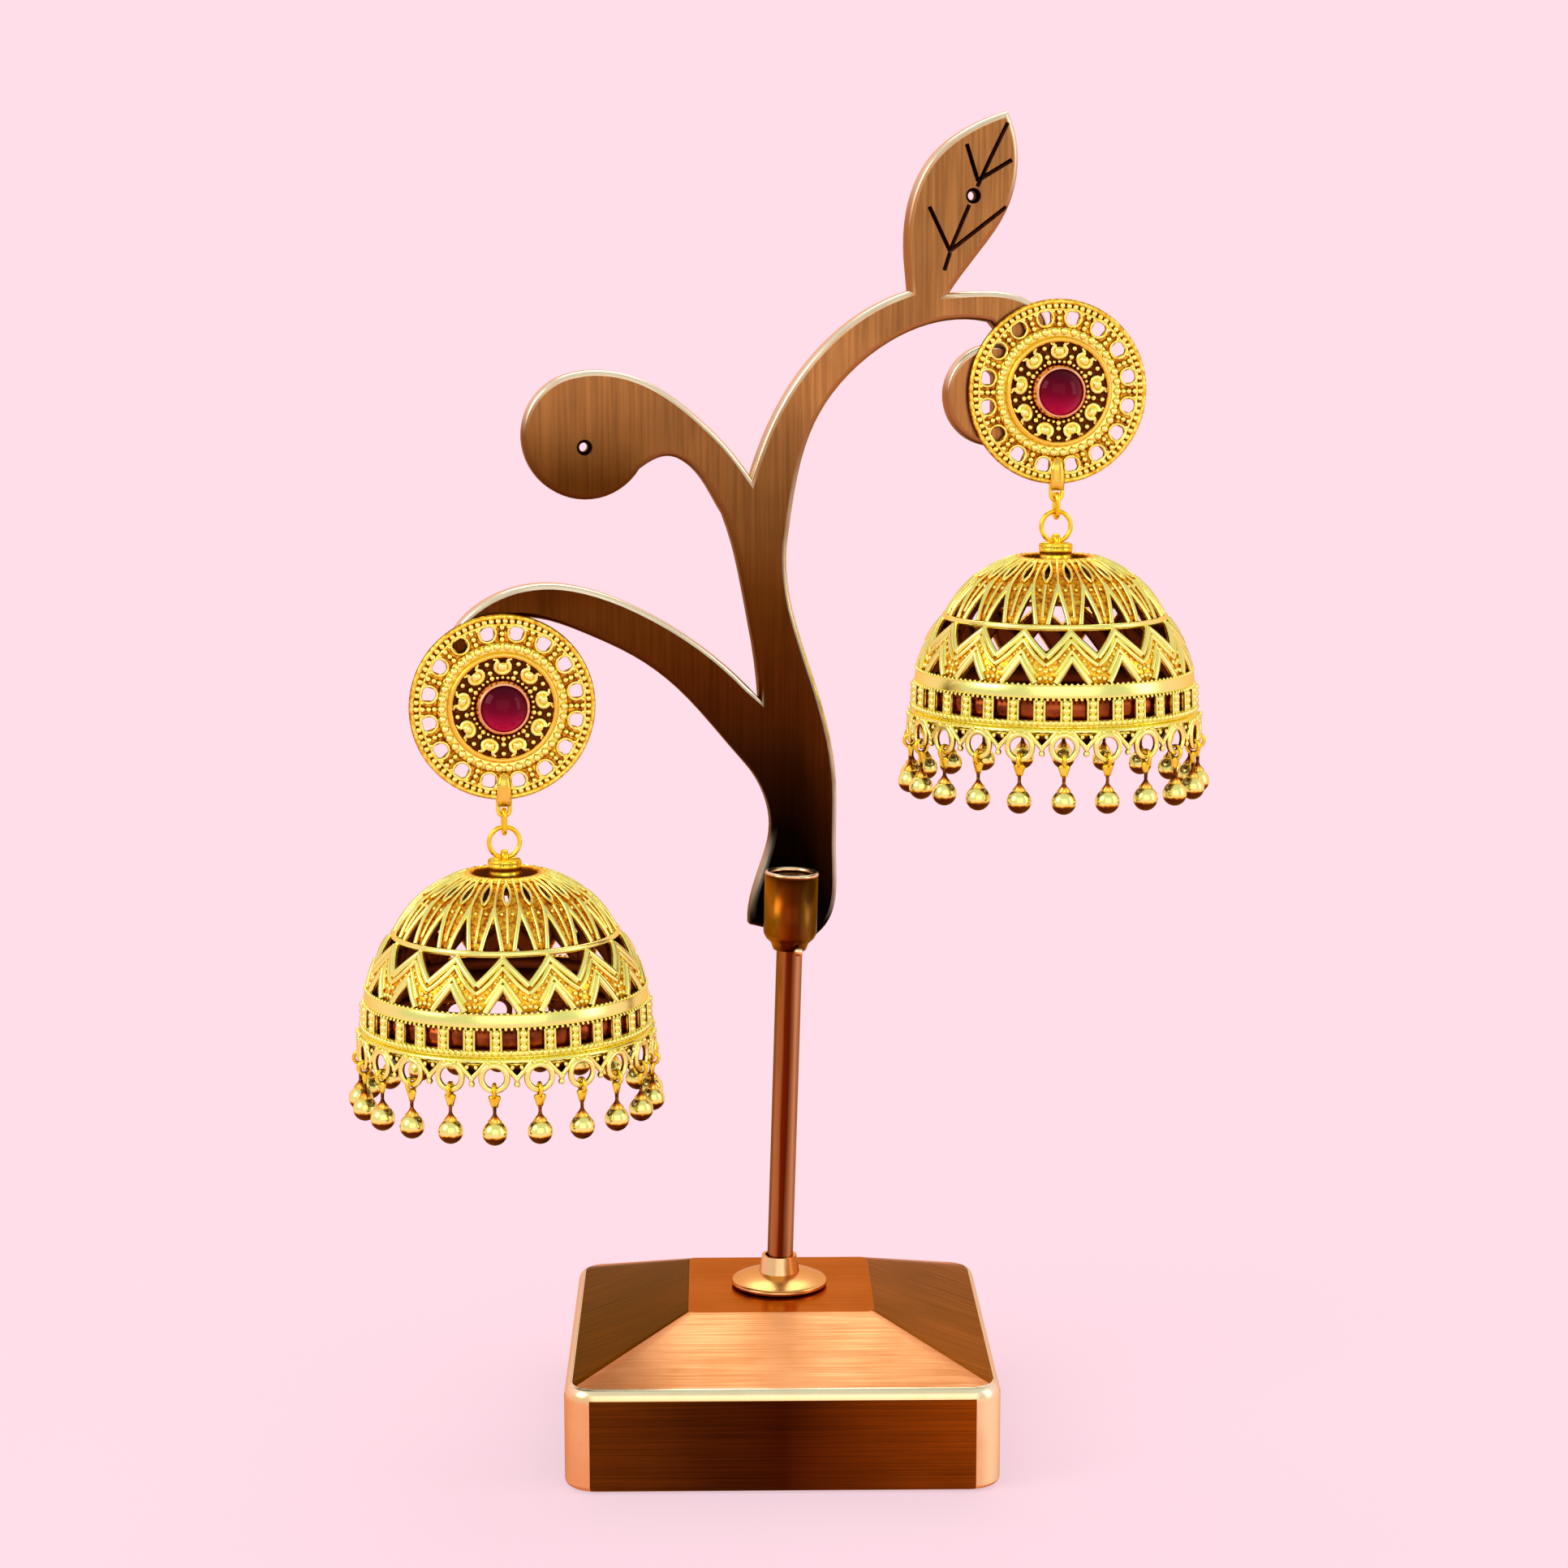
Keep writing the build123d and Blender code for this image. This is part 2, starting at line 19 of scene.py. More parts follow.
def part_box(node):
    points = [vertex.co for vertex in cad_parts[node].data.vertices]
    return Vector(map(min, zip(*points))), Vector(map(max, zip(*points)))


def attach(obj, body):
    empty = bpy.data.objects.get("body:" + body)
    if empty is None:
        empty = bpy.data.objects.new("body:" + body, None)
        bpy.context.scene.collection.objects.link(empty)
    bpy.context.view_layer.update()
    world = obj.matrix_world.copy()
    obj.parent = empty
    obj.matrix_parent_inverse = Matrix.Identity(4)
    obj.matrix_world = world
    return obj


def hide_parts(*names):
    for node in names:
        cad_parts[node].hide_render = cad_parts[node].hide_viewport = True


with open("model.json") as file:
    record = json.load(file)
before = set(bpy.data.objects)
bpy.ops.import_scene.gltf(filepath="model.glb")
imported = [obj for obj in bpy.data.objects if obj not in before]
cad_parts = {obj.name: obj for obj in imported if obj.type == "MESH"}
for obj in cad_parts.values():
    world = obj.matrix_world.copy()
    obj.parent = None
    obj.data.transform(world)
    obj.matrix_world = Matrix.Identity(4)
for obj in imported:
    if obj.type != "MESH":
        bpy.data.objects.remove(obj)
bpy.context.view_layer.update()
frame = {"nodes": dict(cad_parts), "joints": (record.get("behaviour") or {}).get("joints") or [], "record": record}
joints = {joint["name"]: joint for joint in frame["joints"]}
MM = 0.001

# ---- the earring's sizes, in mm
RING_RADIUS = 1.75
CAP_RADIUS = 1.94
CAP_TOP = -1.9
SLOT_WIDTH = 1.0
SLOT_FLOOR = -2.3
EYE_HOLE = 0.47
EYE_RADIUS = 0.95
EYE_THICKNESS = 0.8
DOME_TOP = -3.6
DOME_RIM = -21.2
DOME_WALL = 0.85
PETALS = 21
PETAL_START = 16.3 - 180 / PETALS  # degrees about the dome's axis
ZIGZAGS = 16
ZIGZAG_START = 14.6
WINDOWS = 34
WINDOW_TOP = DOME_TOP - 14.55
WINDOW_BOTTOM = DOME_RIM + 0.7
LOOPS = 21
LOOP_START = 1.5
LOOP_CIRCLE = 16.8
LOOP_CENTRE = -23.4
LOOP_RADIUS = 1.43
BEAD_RADIUS = 1.4
BEAD_CENTRE = -29.6
STUD_RADIUS = 10.6
STUD_BACK = -0.35
STUD_TOP = 0.15
STUD_HOLES = 16
STUD_HOLE_RADIUS = 0.88
STUD_HOLE_CIRCLE = 8.55
FLORETS = 9
FLORET_CIRCLE = 4.65
STONE_RADIUS = 2.55
LOOP_HALF_WIDTH = 0.66
EAR_POST_RADIUS = 0.45
EAR_POST_LENGTH = 9.5

# ---- the stand's, in mm
BASE_SIDE_HEIGHT = 11.5
BASE_SHOULDER = 1.3
BASE_CORNER = 3.6
BASE_CHAMFER = 0.4
SHOULDER_WIDTH = 1.1
SHOULDER_RISE = 1.6
PLATFORM_WIDTH = 21.4
SHEET_THICKNESS = 2.1
SOFT_EDGE = 0.62  # round of the sheet's front edge
HOLE_EDGE = 0.15
HOLE_NECK = 0.22  # what a hole loses all round behind its countersink
HOLE_NECK_DEPTH = 1.6  # up from the sheet's back
VEIN_WIDTH = 0.5
VEIN_DEPTH = 0.5
SET_SCREW = (2.15, -2.2, 56.7)  # its place on the sheet's foot
POST_LEAN = 1.7  # degrees towards +X


# ======== node trees
class Reading:
    """A value read from a socket. Arithmetic on it adds the Math nodes."""

    def __init__(self, graph, socket):
        self.graph = graph
        self.socket = socket

    def maths(self, operation, other):
        return self.graph.node("ShaderNodeMath", {0: self, 1: other}, operation=operation)

    __add__ = __radd__ = partialmethod(maths, "ADD")
    __sub__ = partialmethod(maths, "SUBTRACT")
    __mul__ = partialmethod(maths, "MULTIPLY")
    __truediv__ = partialmethod(maths, "DIVIDE")

    def __rsub__(self, other):
        return self.graph.node("ShaderNodeMath", {0: other, 1: self}, operation="SUBTRACT")


class Graph:
    """A node tree being wired up, for a finish or for a repeat."""

    def __init__(self, tree):
        self.tree = tree

    def node(self, kind, inputs=(), output=0, **settings):
        made = self.tree.nodes.new(kind)
        for name, value in settings.items():
            setattr(made, name, value)
        for name, value in dict(inputs).items():
            self.plug(made.inputs[name], value)
        return Reading(self, made.outputs[output])

    def plug(self, socket, value):
        if isinstance(value, Reading):
            self.tree.links.new(value.socket, socket)
        else:
            socket.default_value = value

    def place(self, stretch=(1, 1, 1)):
        """Object coordinates, stretched."""
        coordinates = self.node("ShaderNodeTexCoord", output="Object")
        return self.node("ShaderNodeMapping", {"Vector": coordinates, "Scale": stretch})

    def part(self, vector, axis):
        """A vector's X, Y or Z, for an axis of 0, 1 or 2."""
        return self.node("ShaderNodeSeparateXYZ", {0: vector}, axis)

    def normal(self):
        return self.node("ShaderNodeNewGeometry", output="Normal")

    def noise(self, stretch, detail=2.0, roughness=0.5):
        sizes = {"Vector": self.place(stretch), "Scale": 1.0, "Detail": detail, "Roughness": roughness}
        return self.node("ShaderNodeTexNoise", sizes)

    def between(self, value, start, end):
        """0 at start and before it, 1 from end on, and smooth between them."""
        sizes = {"Value": value, "From Min": start, "From Max": end}
        return self.node("ShaderNodeMapRange", sizes, interpolation_type="SMOOTHSTEP")

    def mixed(self, share, first, second, blend="MIX"):
        colours = {0: share, 6: first, 7: second}
        return self.node("ShaderNodeMix", colours, 2, data_type="RGBA", blend_type=blend)

    def ramp(self, share, stops):
        """The colour at a share of the way along stops of (place, red, green, blue)."""
        made = self.tree.nodes.new("ShaderNodeValToRGB")
        elements = made.color_ramp.elements
        while len(elements) < len(stops):
            elements.new(1.0)
        for element, (place, *colour) in zip(elements, stops):
            element.position = place
            element.color = tone(*colour)
        self.plug(made.inputs[0], share)
        return Reading(self, made.outputs[0])


def tone(red, green, blue):
    """A linear colour from its 0 to 255 values."""
    shares = [c / 255 for c in (red, green, blue)]
    return (*(((c + 0.055) / 1.055) ** 2.4 if c > 0.04 else c / 12.92 for c in shares), 1.0)


def grey(level):
    return (level, level, level, 1.0)


# ======== finishes
class Finish(Graph):
    """A material's graph and its surface shader."""

    def __init__(self, name, **constants):
        self.material = bpy.data.materials.new(name)
        self.material.use_nodes = True
        super().__init__(self.material.node_tree)
        self.surface = self.tree.nodes["Principled BSDF"]
        self.wear(**constants)

    def wear(self, **values):
        for socket, value in values.items():
            self.plug(self.surface.inputs[socket.replace("_", " ")], value)
        return self.material

    def bumped(self, height, depth):
        return self.node("ShaderNodeBump", {"Height": height, "Distance": depth, "Strength": 0.25})


COPPER_RIM = (0.85, 0.64, 0.42, 1)  # tint of what copper reflects at a glancing angle
GOLD_RIM = (1.0, 0.77, 0.4, 1)
MOTTLE = (110, 110, 70)  # noise stretched into patches, blotches or brushed grain, in cells a metre
WIDE_MOTTLE = (42, 42, 42)
SMALL_MOTTLE = (300, 300, 200)
GILT_MOTTLE = (420, 420, 420)
PITS = (5200, 5200, 5200)
UPRIGHT_GRAIN = (2600, 2600, 60)
LEVEL_GRAIN = (60, 60, 7000)
PLATFORM_GRAIN = (70, 5200, 70)


def brushed(name, grain, pale, deep, rough=0.4, mottle=MOTTLE):
    """Copper plate with a brushed grain, and the colour of its streaks and patches."""
    copper = Finish(name, Metallic=1.0, Specular_Tint=COPPER_RIM)
    brushing = copper.noise(grain, 3.0, 0.6)
    cloud = copper.noise(mottle, 3.0)
    streaks = copper.between(brushing, 0.3, 0.7)
    share = streaks * 0.5 + copper.between(cloud, 0.3, 0.7) * 0.5
    colour = copper.mixed(share, deep, pale)
    copper.wear(Roughness=rough - streaks * 0.12, Normal=copper.bumped(brushing, 0.00004))
    return copper, colour


def plain_brushed(name, grain, pale, deep, rough=0.4, mottle=MOTTLE):
    copper, colour = brushed(name, grain, tone(*pale), tone(*deep), rough, mottle)
    return copper.wear(Base_Color=colour)


def trunk_light_share(copper):
    """How much painted light a place gets: 0 at the trunk's foot, which is painted in shade, 1 on the branches:
    further on at the right, painted lighter, and less far under the free disc, painted in its shade.
    """
    foot, head = 0.070, 0.126  # heights in metres
    across, height = (copper.part(copper.place(), axis) for axis in (0, 2))
    # painted light on the sheet's right side, and painted shade on the lower part of the free disc
    right = copper.between(across, 0.001, 0.008) * 0.012
    on_disc = copper.between(across, -0.012, -0.018) * copper.between(height, 0.095, 0.1)
    under = on_disc * copper.between(height, 0.121, 0.11) * 0.012
    return (height + right - under - foot) / (head - foot)


def trunk_finish(name, stops):
    """The sheet's faces: brushed copper with painted shade that darkens it down to the foot."""
    copper, worn = brushed(name, UPRIGHT_GRAIN, grey(1.24), grey(0.62))
    colour = copper.ramp(trunk_light_share(copper), stops)
    return copper.wear(Base_Color=copper.mixed(1.0, colour, worn, "MULTIPLY"))


def polished(name, sideways, mottling):
    """Polished copper, how far each place faces up and to the right, which sets its painted light and shade, and
    the noise that mottles it.
    """
    copper = Finish(name, Metallic=1.0, Specular_Tint=COPPER_RIM)
    cloud = copper.noise(SMALL_MOTTLE, 3.0)
    right, up = (copper.part(copper.normal(), axis) for axis in (0, 2))
    facing = up + right.maths("MAXIMUM", 0.0) * sideways + (cloud - 0.5) * mottling
    return copper, facing, cloud


def sheet_edge_finish(name, stops, bright, dull):
    """The sheet's rounded edge: its own tone where it faces front, a painted highlight above, and painted shade
    below.
    """
    copper, facing, cloud = polished(name, 0.45, 0.2)
    colour = copper.ramp(trunk_light_share(copper), stops)
    lower = copper.mixed(copper.between(facing, -0.9, -0.2), tone(*dull), colour)
    return copper.wear(
        Base_Color=copper.mixed(copper.between(facing, 0.0, 0.62), lower, tone(*bright)),
        Roughness=0.3 - copper.between(facing, 0.0, 0.6) * 0.12 + cloud * 0.1,
    )


def edge_finish(name, stops):
    """Polished copper edges with painted light: a painted highlight where they face up, less to the right, and
    painted brown shade below.
    """
    copper, facing, cloud = polished(name, 0.5, 0.3)
    return copper.wear(Base_Color=copper.ramp((facing + 0.3) / 1.1, stops), Roughness=0.2 + cloud * 0.12)


def tube_reflection_finish(name, stops):
    """A polished copper tube with painted reflections in long stripes from its left side round to its right."""
    copper = Finish(name, Metallic=1.0, Specular_Tint=COPPER_RIM)
    drawn = copper.noise((900, 900, 40))
    share = copper.part(copper.normal(), 0) * 0.5 + 0.5 + (drawn - 0.5) * 0.16
    return copper.wear(Base_Color=copper.ramp(share, stops), Roughness=0.24 + drawn * 0.12)


def wall_finish(name, stops, reach):
    """The base's brushed wall, painted dark as shade, with a painted reflection that changes its tone from its
    left end to its right.
    """
    copper, worn = brushed(name, LEVEL_GRAIN, grey(1.6), grey(0.5), 0.36, WIDE_MOTTLE)
    colour = copper.ramp(copper.part(copper.place(), 0) / (2 * reach) + 0.5, stops)
    return copper.wear(Base_Color=copper.mixed(1.0, colour, worn, "MULTIPLY"))


def gold_plate(name):
    """Gold plate with its pits in relief, the noise of its patches, and that of its pits."""
    gold = Finish(name, Metallic=1.0, Specular_Tint=GOLD_RIM)
    pits = gold.noise(PITS)
    gold.wear(Normal=gold.bumped(pits, 0.00003))
    return gold, gold.noise(GILT_MOTTLE, 3.0), pits


def gilt(name, pale, deep):
    """Plain gold plate, bright all over."""
    gold, cloud, pits = gold_plate(name)
    colour = gold.mixed(gold.between(cloud, 0.3, 0.7), tone(*deep), tone(*pale))
    return gold.wear(Base_Color=colour, Roughness=0.17 + pits * 0.12)


def antique_gilt(name, stops, low, high):
    """Gold plate: bright on what stands proud, through orange to the brown oxide down in the work."""
    gold, cloud, pits = gold_plate(name)
    relief = gold.node("ShaderNodeAttribute", output="Fac", attribute_name="relief")
    worn = gold.noise((2300, 2300, 2300), 1.0)
    proud = gold.between(relief + (pits - 0.5) * 0.16 + (worn - 0.5) * 0.5 + (cloud - 0.5) * 0.1, low, high)
    return gold.wear(Base_Color=gold.ramp(proud, stops), Roughness=0.45 - proud * 0.28 + pits * 0.1)


def ruby_glass(low, high):
    """A polished cabochon over foil, with painted light: nearly black red above as painted shade, and a painted
    crimson glow below.
    """
    tint = (1.0, 0.3, 0.42, 1)
    ruby = Finish("ruby_glass", Roughness=0.07, IOR=1.45, Specular_IOR_Level=0.25, Specular_Tint=tint)
    # painted light through the stone: crimson glow at the bottom, painted shade towards the top
    share = (ruby.part(ruby.place(), 2) - low) / (high - low)
    return ruby.wear(Base_Color=ruby.ramp(share, [(0.0, 190, 0, 66), (0.45, 112, 0, 30), (1.0, 52, 0, 12)]))


OXIDE_TO_GOLD = [  # from the bottom of the work to what stands proud
    (0.0, 96, 42, 14), (0.25, 164, 84, 22), (0.45, 222, 144, 38), (0.65, 246, 196, 52),
    (0.85, 255, 236, 98), (1.0, 255, 250, 146),
]
OXIDE_TO_ORANGE = [(0.0, 90, 38, 12), (0.5, 222, 130, 36), (1.0, 255, 206, 84)]
antique_gold = antique_gilt("antique_gold", OXIDE_TO_GOLD, -0.35, 0.3)
orange_gold = antique_gilt("orange_gold", OXIDE_TO_ORANGE, -0.3, 0.4)
bright_gold = gilt("bright_gold", (255, 236, 84), (250, 200, 40))
# a dark red-brown lining: painted shade in the window recesses
ember = gilt("ember", (164, 74, 36), (80, 28, 12))
bezel_gold = gilt("bezel_gold", (255, 196, 150), (236, 150, 110))

FOOT_TO_BRANCH = [  # from the painted shade at the foot of the trunk up to the lit branches
    (0.0, 10, 3, 0), (0.15, 46, 18, 3), (0.33, 86, 38, 6), (0.5, 98, 52, 13),
    (0.68, 132, 83, 38), (1.0, 176, 116, 64),
]
# tones of the edge finishes, from painted shade where a face looks down to a painted highlight where it looks up
RIM_TONES = [(0.0, 96, 48, 16), (0.3, 140, 78, 34), (0.6, 250, 190, 130), (1.0, 255, 244, 214)]
SHOULDER_TONES = [(0.0, 200, 120, 60), (0.4, 255, 206, 140), (1.0, 255, 246, 206)]
CORNER_TONES = [(0.0, 226, 146, 84), (0.3, 244, 178, 114), (0.55, 255, 232, 170), (1.0, 255, 240, 190)]
FLANGE_TONES = [
    (0.0, 150, 84, 30), (0.3, 236, 172, 118), (0.5, 255, 220, 160), (0.62, 206, 124, 56),
    (0.88, 200, 118, 50), (0.98, 240, 186, 110),
]
# the walls' painted shade and painted reflection, from the left end to the right
WALL_TONES = [(0.0, 98, 48, 8), (0.5, 62, 20, 3), (1.0, 134, 62, 6)]
POST_TONES = [  # painted reflection, from the left side round to the right
    (0.0, 84, 44, 24), (0.12, 186, 120, 66), (0.3, 176, 102, 52), (0.4, 110, 36, 6),
    (0.58, 98, 24, 2), (0.68, 140, 90, 46), (0.84, 206, 146, 98), (1.0, 150, 96, 60),
]
# the socket's painted reflection, from its left side round to its right
SOCKET_TONES = [
    (0.0, 96, 62, 22), (0.15, 160, 100, 20), (0.34, 140, 62, 8), (0.5, 92, 32, 4),
    (0.66, 88, 40, 8), (0.82, 128, 84, 28), (1.0, 60, 34, 12),
]
sheet_copper = trunk_finish("sheet_copper", FOOT_TO_BRANCH)
sheet_edge_copper = sheet_edge_finish("sheet_edge_copper", FOOT_TO_BRANCH, (255, 240, 208), (84, 42, 14))
# painted shade for the holes' walls, the vein walls that face down, and the lid down in the socket
dark_copper = plain_brushed("dark_copper", LEVEL_GRAIN, (64, 26, 4), (24, 8, 1), 0.36, WIDE_MOTTLE)
front_copper = wall_finish("front_copper", WALL_TONES, 0.024)
# painted light and shade on the slopes: the left in deep shade, the right in half shade, the front and back lit
left_copper = plain_brushed("left_copper", PLATFORM_GRAIN, (112, 52, 6), (30, 12, 1), 0.34, WIDE_MOTTLE)
right_copper = plain_brushed("right_copper", PLATFORM_GRAIN, (166, 98, 44), (84, 42, 12), 0.34, WIDE_MOTTLE)
slope_copper = plain_brushed("slope_copper", PLATFORM_GRAIN, (238, 172, 118), (208, 136, 80), 0.46)
platform_copper = plain_brushed("platform_copper", PLATFORM_GRAIN, (206, 118, 52), (180, 92, 34), 0.26)
# edges, shoulder, corners and flange: painted highlights and shade by which way each face looks
edge_copper = edge_finish("edge_copper", RIM_TONES)
shoulder_copper = edge_finish("shoulder_copper", SHOULDER_TONES)
corner_copper = edge_finish("corner_copper", CORNER_TONES)
flange_copper = edge_finish("flange_copper", FLANGE_TONES)
tube_copper = tube_reflection_finish("tube_copper", POST_TONES)
socket_copper = tube_reflection_finish("socket_copper", SOCKET_TONES)


# ======== repeats and wirework
def repeat_tree(name, sockets):
    """An empty geometry tree with these named inputs, and its graph."""
    tree = bpy.data.node_groups.new(name, "GeometryNodeTree")
    for label, kind in {"Geometry": "Geometry", **sockets}.items():
        tree.interface.new_socket(label, in_out="INPUT", socket_type=f"NodeSocket{kind}")
    tree.interface.new_socket("Geometry", in_out="OUTPUT", socket_type="NodeSocketGeometry")
    graph = Graph(tree)
    source = tree.nodes.new("NodeGroupInput")
    return graph, {socket.name: Reading(graph, socket) for socket in source.outputs if socket.name}


def end_tree(graph, geometry, finish):
    """Ends a repeat: instances made real, smooth, and in their finish."""
    real = graph.node("GeometryNodeRealizeInstances", {0: geometry})
    smooth = graph.node("GeometryNodeSetShadeSmooth", {0: real})
    painted = graph.node("GeometryNodeSetMaterial", {"Geometry": smooth, "Material": finish})
    last = graph.tree.nodes.new("NodeGroupOutput")
    graph.plug(last.inputs[0], painted)
    return graph.tree


def wire_tree():
    """A round wire along each line of the mesh."""
    graph, given = repeat_tree("wire", {"Radius": "Float", "Sides": "Int", "Finish": "Material"})
    line = graph.node("GeometryNodeMeshToCurve", {"Mesh": given["Geometry"]})
    sizes = {"Resolution": given["Sides"], "Radius": given["Radius"]}
    section = graph.node("GeometryNodeCurvePrimitiveCircle", sizes)
    swept = {"Curve": line, "Profile Curve": section, "Fill Caps": True}
    return end_tree(graph, graph.node("GeometryNodeCurveToMesh", swept), given["Finish"])


def grain_tree():
    """A small ball on each point of the mesh."""
    inputs = {"Radius": "Float", "Sides": "Int", "Rings": "Int", "Finish": "Material"}
    graph, given = repeat_tree("grains", inputs)
    sizes = {"Segments": given["Sides"], "Rings": given["Rings"], "Radius": given["Radius"]}
    ball = graph.node("GeometryNodeMeshUVSphere", sizes)
    balls = graph.node("GeometryNodeInstanceOnPoints", {"Points": given["Geometry"], "Instance": ball})
    return end_tree(graph, balls, given["Finish"])


def round_tree():
    """The mesh repeated round the Z axis, the first copy turned by Start."""
    graph, given = repeat_tree("round", {"Count": "Int", "Start": "Float", "Finish": "Material"})
    points = graph.node("GeometryNodePoints", {"Count": given["Count"]})
    index = graph.node("GeometryNodeInputIndex")
    angle = given["Start"] + index * (2 * math.pi) / given["Count"]
    turned = graph.node("ShaderNodeCombineXYZ", {"Z": angle})
    rotation = graph.node("FunctionNodeEulerToRotation", {0: turned})
    copied = {"Points": points, "Instance": given["Geometry"], "Rotation": rotation}
    return end_tree(graph, graph.node("GeometryNodeInstanceOnPoints", copied), given["Finish"])


WIRE = wire_tree()
GRAINS = grain_tree()
ROUND = round_tree()


def placed(name, data):
    """A new object in the scene."""
    piece = bpy.data.objects.new(name, data)
    bpy.context.scene.collection.objects.link(piece)
    return piece


def plain_mesh(name, points, edges=(), faces=()):
    """A mesh of these points, with no finish."""
    mesh = bpy.data.meshes.new(name)
    mesh.from_pydata(points, edges, faces)
    return mesh


def result(blank):
    """The mesh that an object's modifiers make of it. The object itself goes."""
    made = bpy.data.meshes.new_from_object(blank.evaluated_get(bpy.context.evaluated_depsgraph_get()))
    blank.modifiers.clear()
    bpy.data.objects.remove(blank)
    return made


def worked(tree, mesh, sizes):
    """The mesh that a repeat makes of this one."""
    blank = placed("blank", mesh)
    modifier = blank.modifiers.new("work", "NODES")
    modifier.node_group = tree
    for item in tree.interface.items_tree:
        if item.in_out == "INPUT" and item.name in sizes:
            modifier[item.identifier] = sizes[item.name]
    return result(blank)


def wire(paths, radius, sides=6, finish=antique_gold, closed=False):
    """Round wire along each path of points."""
    points, edges = [], []
    for path in paths:
        first, last = len(points), len(points) + len(path) - 1
        points += path
        edges += [(i, i + 1) for i in range(first, last)]
        if closed:
            edges.append((last, first))
    sizes = {"Radius": radius, "Sides": sides, "Finish": finish}
    return worked(WIRE, plain_mesh("line", points, edges), sizes)


def grains(places, radius, sides=8, rings=5, finish=antique_gold):
    """Soldered granules."""
    sizes = {"Radius": radius, "Sides": sides, "Rings": rings, "Finish": finish}
    return worked(GRAINS, plain_mesh("places", places), sizes)


def round_about(parts, count, start=0):
    """Each part repeated round the axis in its finish, the first copy turned by start degrees."""
    sizes = {"Count": count, "Start": math.radians(start)}
    return [worked(ROUND, part, {**sizes, "Finish": part.materials[-1]}) for part in parts]


def skin(points, faces, finish=antique_gold):
    """A closed mesh with its faces outwards."""
    mesh = plain_mesh("skin", points, faces=faces)
    shape = bmesh.new()
    shape.from_mesh(mesh)
    bmesh.ops.remove_doubles(shape, verts=shape.verts, dist=1e-5)
    bmesh.ops.recalc_face_normals(shape, faces=shape.faces)
    for face in shape.faces:
        face.smooth = True
    shape.to_mesh(mesh)
    shape.free()
    mesh.materials.append(finish)
    return mesh


def walls(rings):
    """Faces between each closed ring of corners and the next."""
    faces = []
    for lower, upper in zip(rings, rings[1:]):
        faces += [[lower[i - 1], lower[i], upper[i], upper[i - 1]] for i in range(len(lower))]
    return faces


def lofted(rings, finish=antique_gold, hollow=False):
    """A skin through closed rings of points. If hollow, its last ring joins its first and it has no ends."""
    count = len(rings[0])
    rows = [list(range(i * count, (i + 1) * count)) for i in range(len(rings))]
    faces = walls([*rows, rows[0]]) if hollow else [*walls(rows), rows[0], rows[-1]]
    return skin([p for ring in rings for p in ring], faces, finish)


def turned_band(outline, steps=128, finish=antique_gold):
    """A closed outline turned about the Z axis. Points on the axis close the poles."""
    names, rings = {}, []
    for angle in turns(steps):
        spots = [(r * math.cos(angle), r * math.sin(angle), z) for r, z in outline]
        rings.append([names.setdefault(tuple(round(c, 5) for c in spot), len(names)) for spot in spots])
    faces = [list(dict.fromkeys(face)) for face in walls([*rings, rings[0]])]
    return skin(list(names), [face for face in faces if len(face) > 2], finish)


def turns(count):
    """Angles a step apart, once round a circle."""
    return np.linspace(0, 2 * math.pi, count, endpoint=False)


def oval(radius, height, half_width, half_height, sides=10):
    """The outline of a turned wire or band."""
    return [(radius + half_width * math.cos(a), height + half_height * math.sin(a)) for a in turns(sides)]


def ringed(radius, azimuth, height):
    """The point at this radius, azimuth in degrees, and height."""
    angle = math.radians(azimuth)
    return radius * math.cos(angle), radius * math.sin(angle), height


def plate(rows, under, finish=antique_gold):
    """A plate between two grids of points of the same size: its face, and its underside."""
    tall, wide = len(rows), len(rows[0])
    back = tall * wide
    grid = np.arange(back).reshape(tall, wide)
    faces = []
    for a in grid[:-1, :-1].ravel().tolist():
        faces.append([a, a + 1, a + wide + 1, a + wide])
        faces.append([back + a, back + a + wide, back + a + wide + 1, back + a + 1])
    rim = np.concatenate((grid[0], grid[1:, -1], grid[-1, -2::-1], grid[-2:0:-1, 0])).tolist()
    faces += walls([rim, [back + i for i in rim]])
    return skin([p for row in (*rows, *under) for p in row], faces, finish)


def solder(name, body, parts, seat, replaced, relief=None):
    """Joins the worked parts, sets them at their seat in the frame, and rides them on their body."""
    made = [placed(name, part.copy()) for part in parts]
    with bpy.context.temp_override(active_object=made[0], selected_editable_objects=made):
        bpy.ops.object.join()
    piece = made[0]
    piece.name = name
    if relief:
        spots = np.array([vertex.co for vertex in piece.data.vertices], np.float32)
        attribute = piece.data.attributes.new("relief", "FLOAT", "POINT")
        attribute.data.foreach_set("value", relief(spots).astype(np.float32))
    piece.data.transform(seat @ Matrix.Scale(MM, 4))
    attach(piece, body)
    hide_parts(replaced)


# ======== the dome
class DomeArc:
    """The dome's outside between two heights: an arc through three (radius, height) points."""

    def __init__(self, first, middle, last):
        points = np.array((first, middle, last))
        squares = (points**2).sum(axis=1)
        self.x, self.y = np.linalg.solve(2 * (points[1:] - points[0]), squares[1:] - squares[0])
        self.radius = math.hypot(first[0] - self.x, first[1] - self.y)
        self.first, self.last = (math.atan2(z - self.y, r - self.x) for r, z in (first, last))

    def profile(self, along, lift=0.0):
        """(radius, height) at a share of the way down, stood off by lift."""
        angle = self.first + (self.last - self.first) * along
        out = self.radius + lift
        return self.x + out * math.cos(angle), self.y + out * math.sin(angle)

    def at(self, azimuth, along, lift=0.0):
        radius, height = self.profile(along, lift)
        return ringed(radius, azimuth, height)

    def lift(self, radii, heights):
        return np.hypot(radii - self.x, heights - self.y) - self.radius


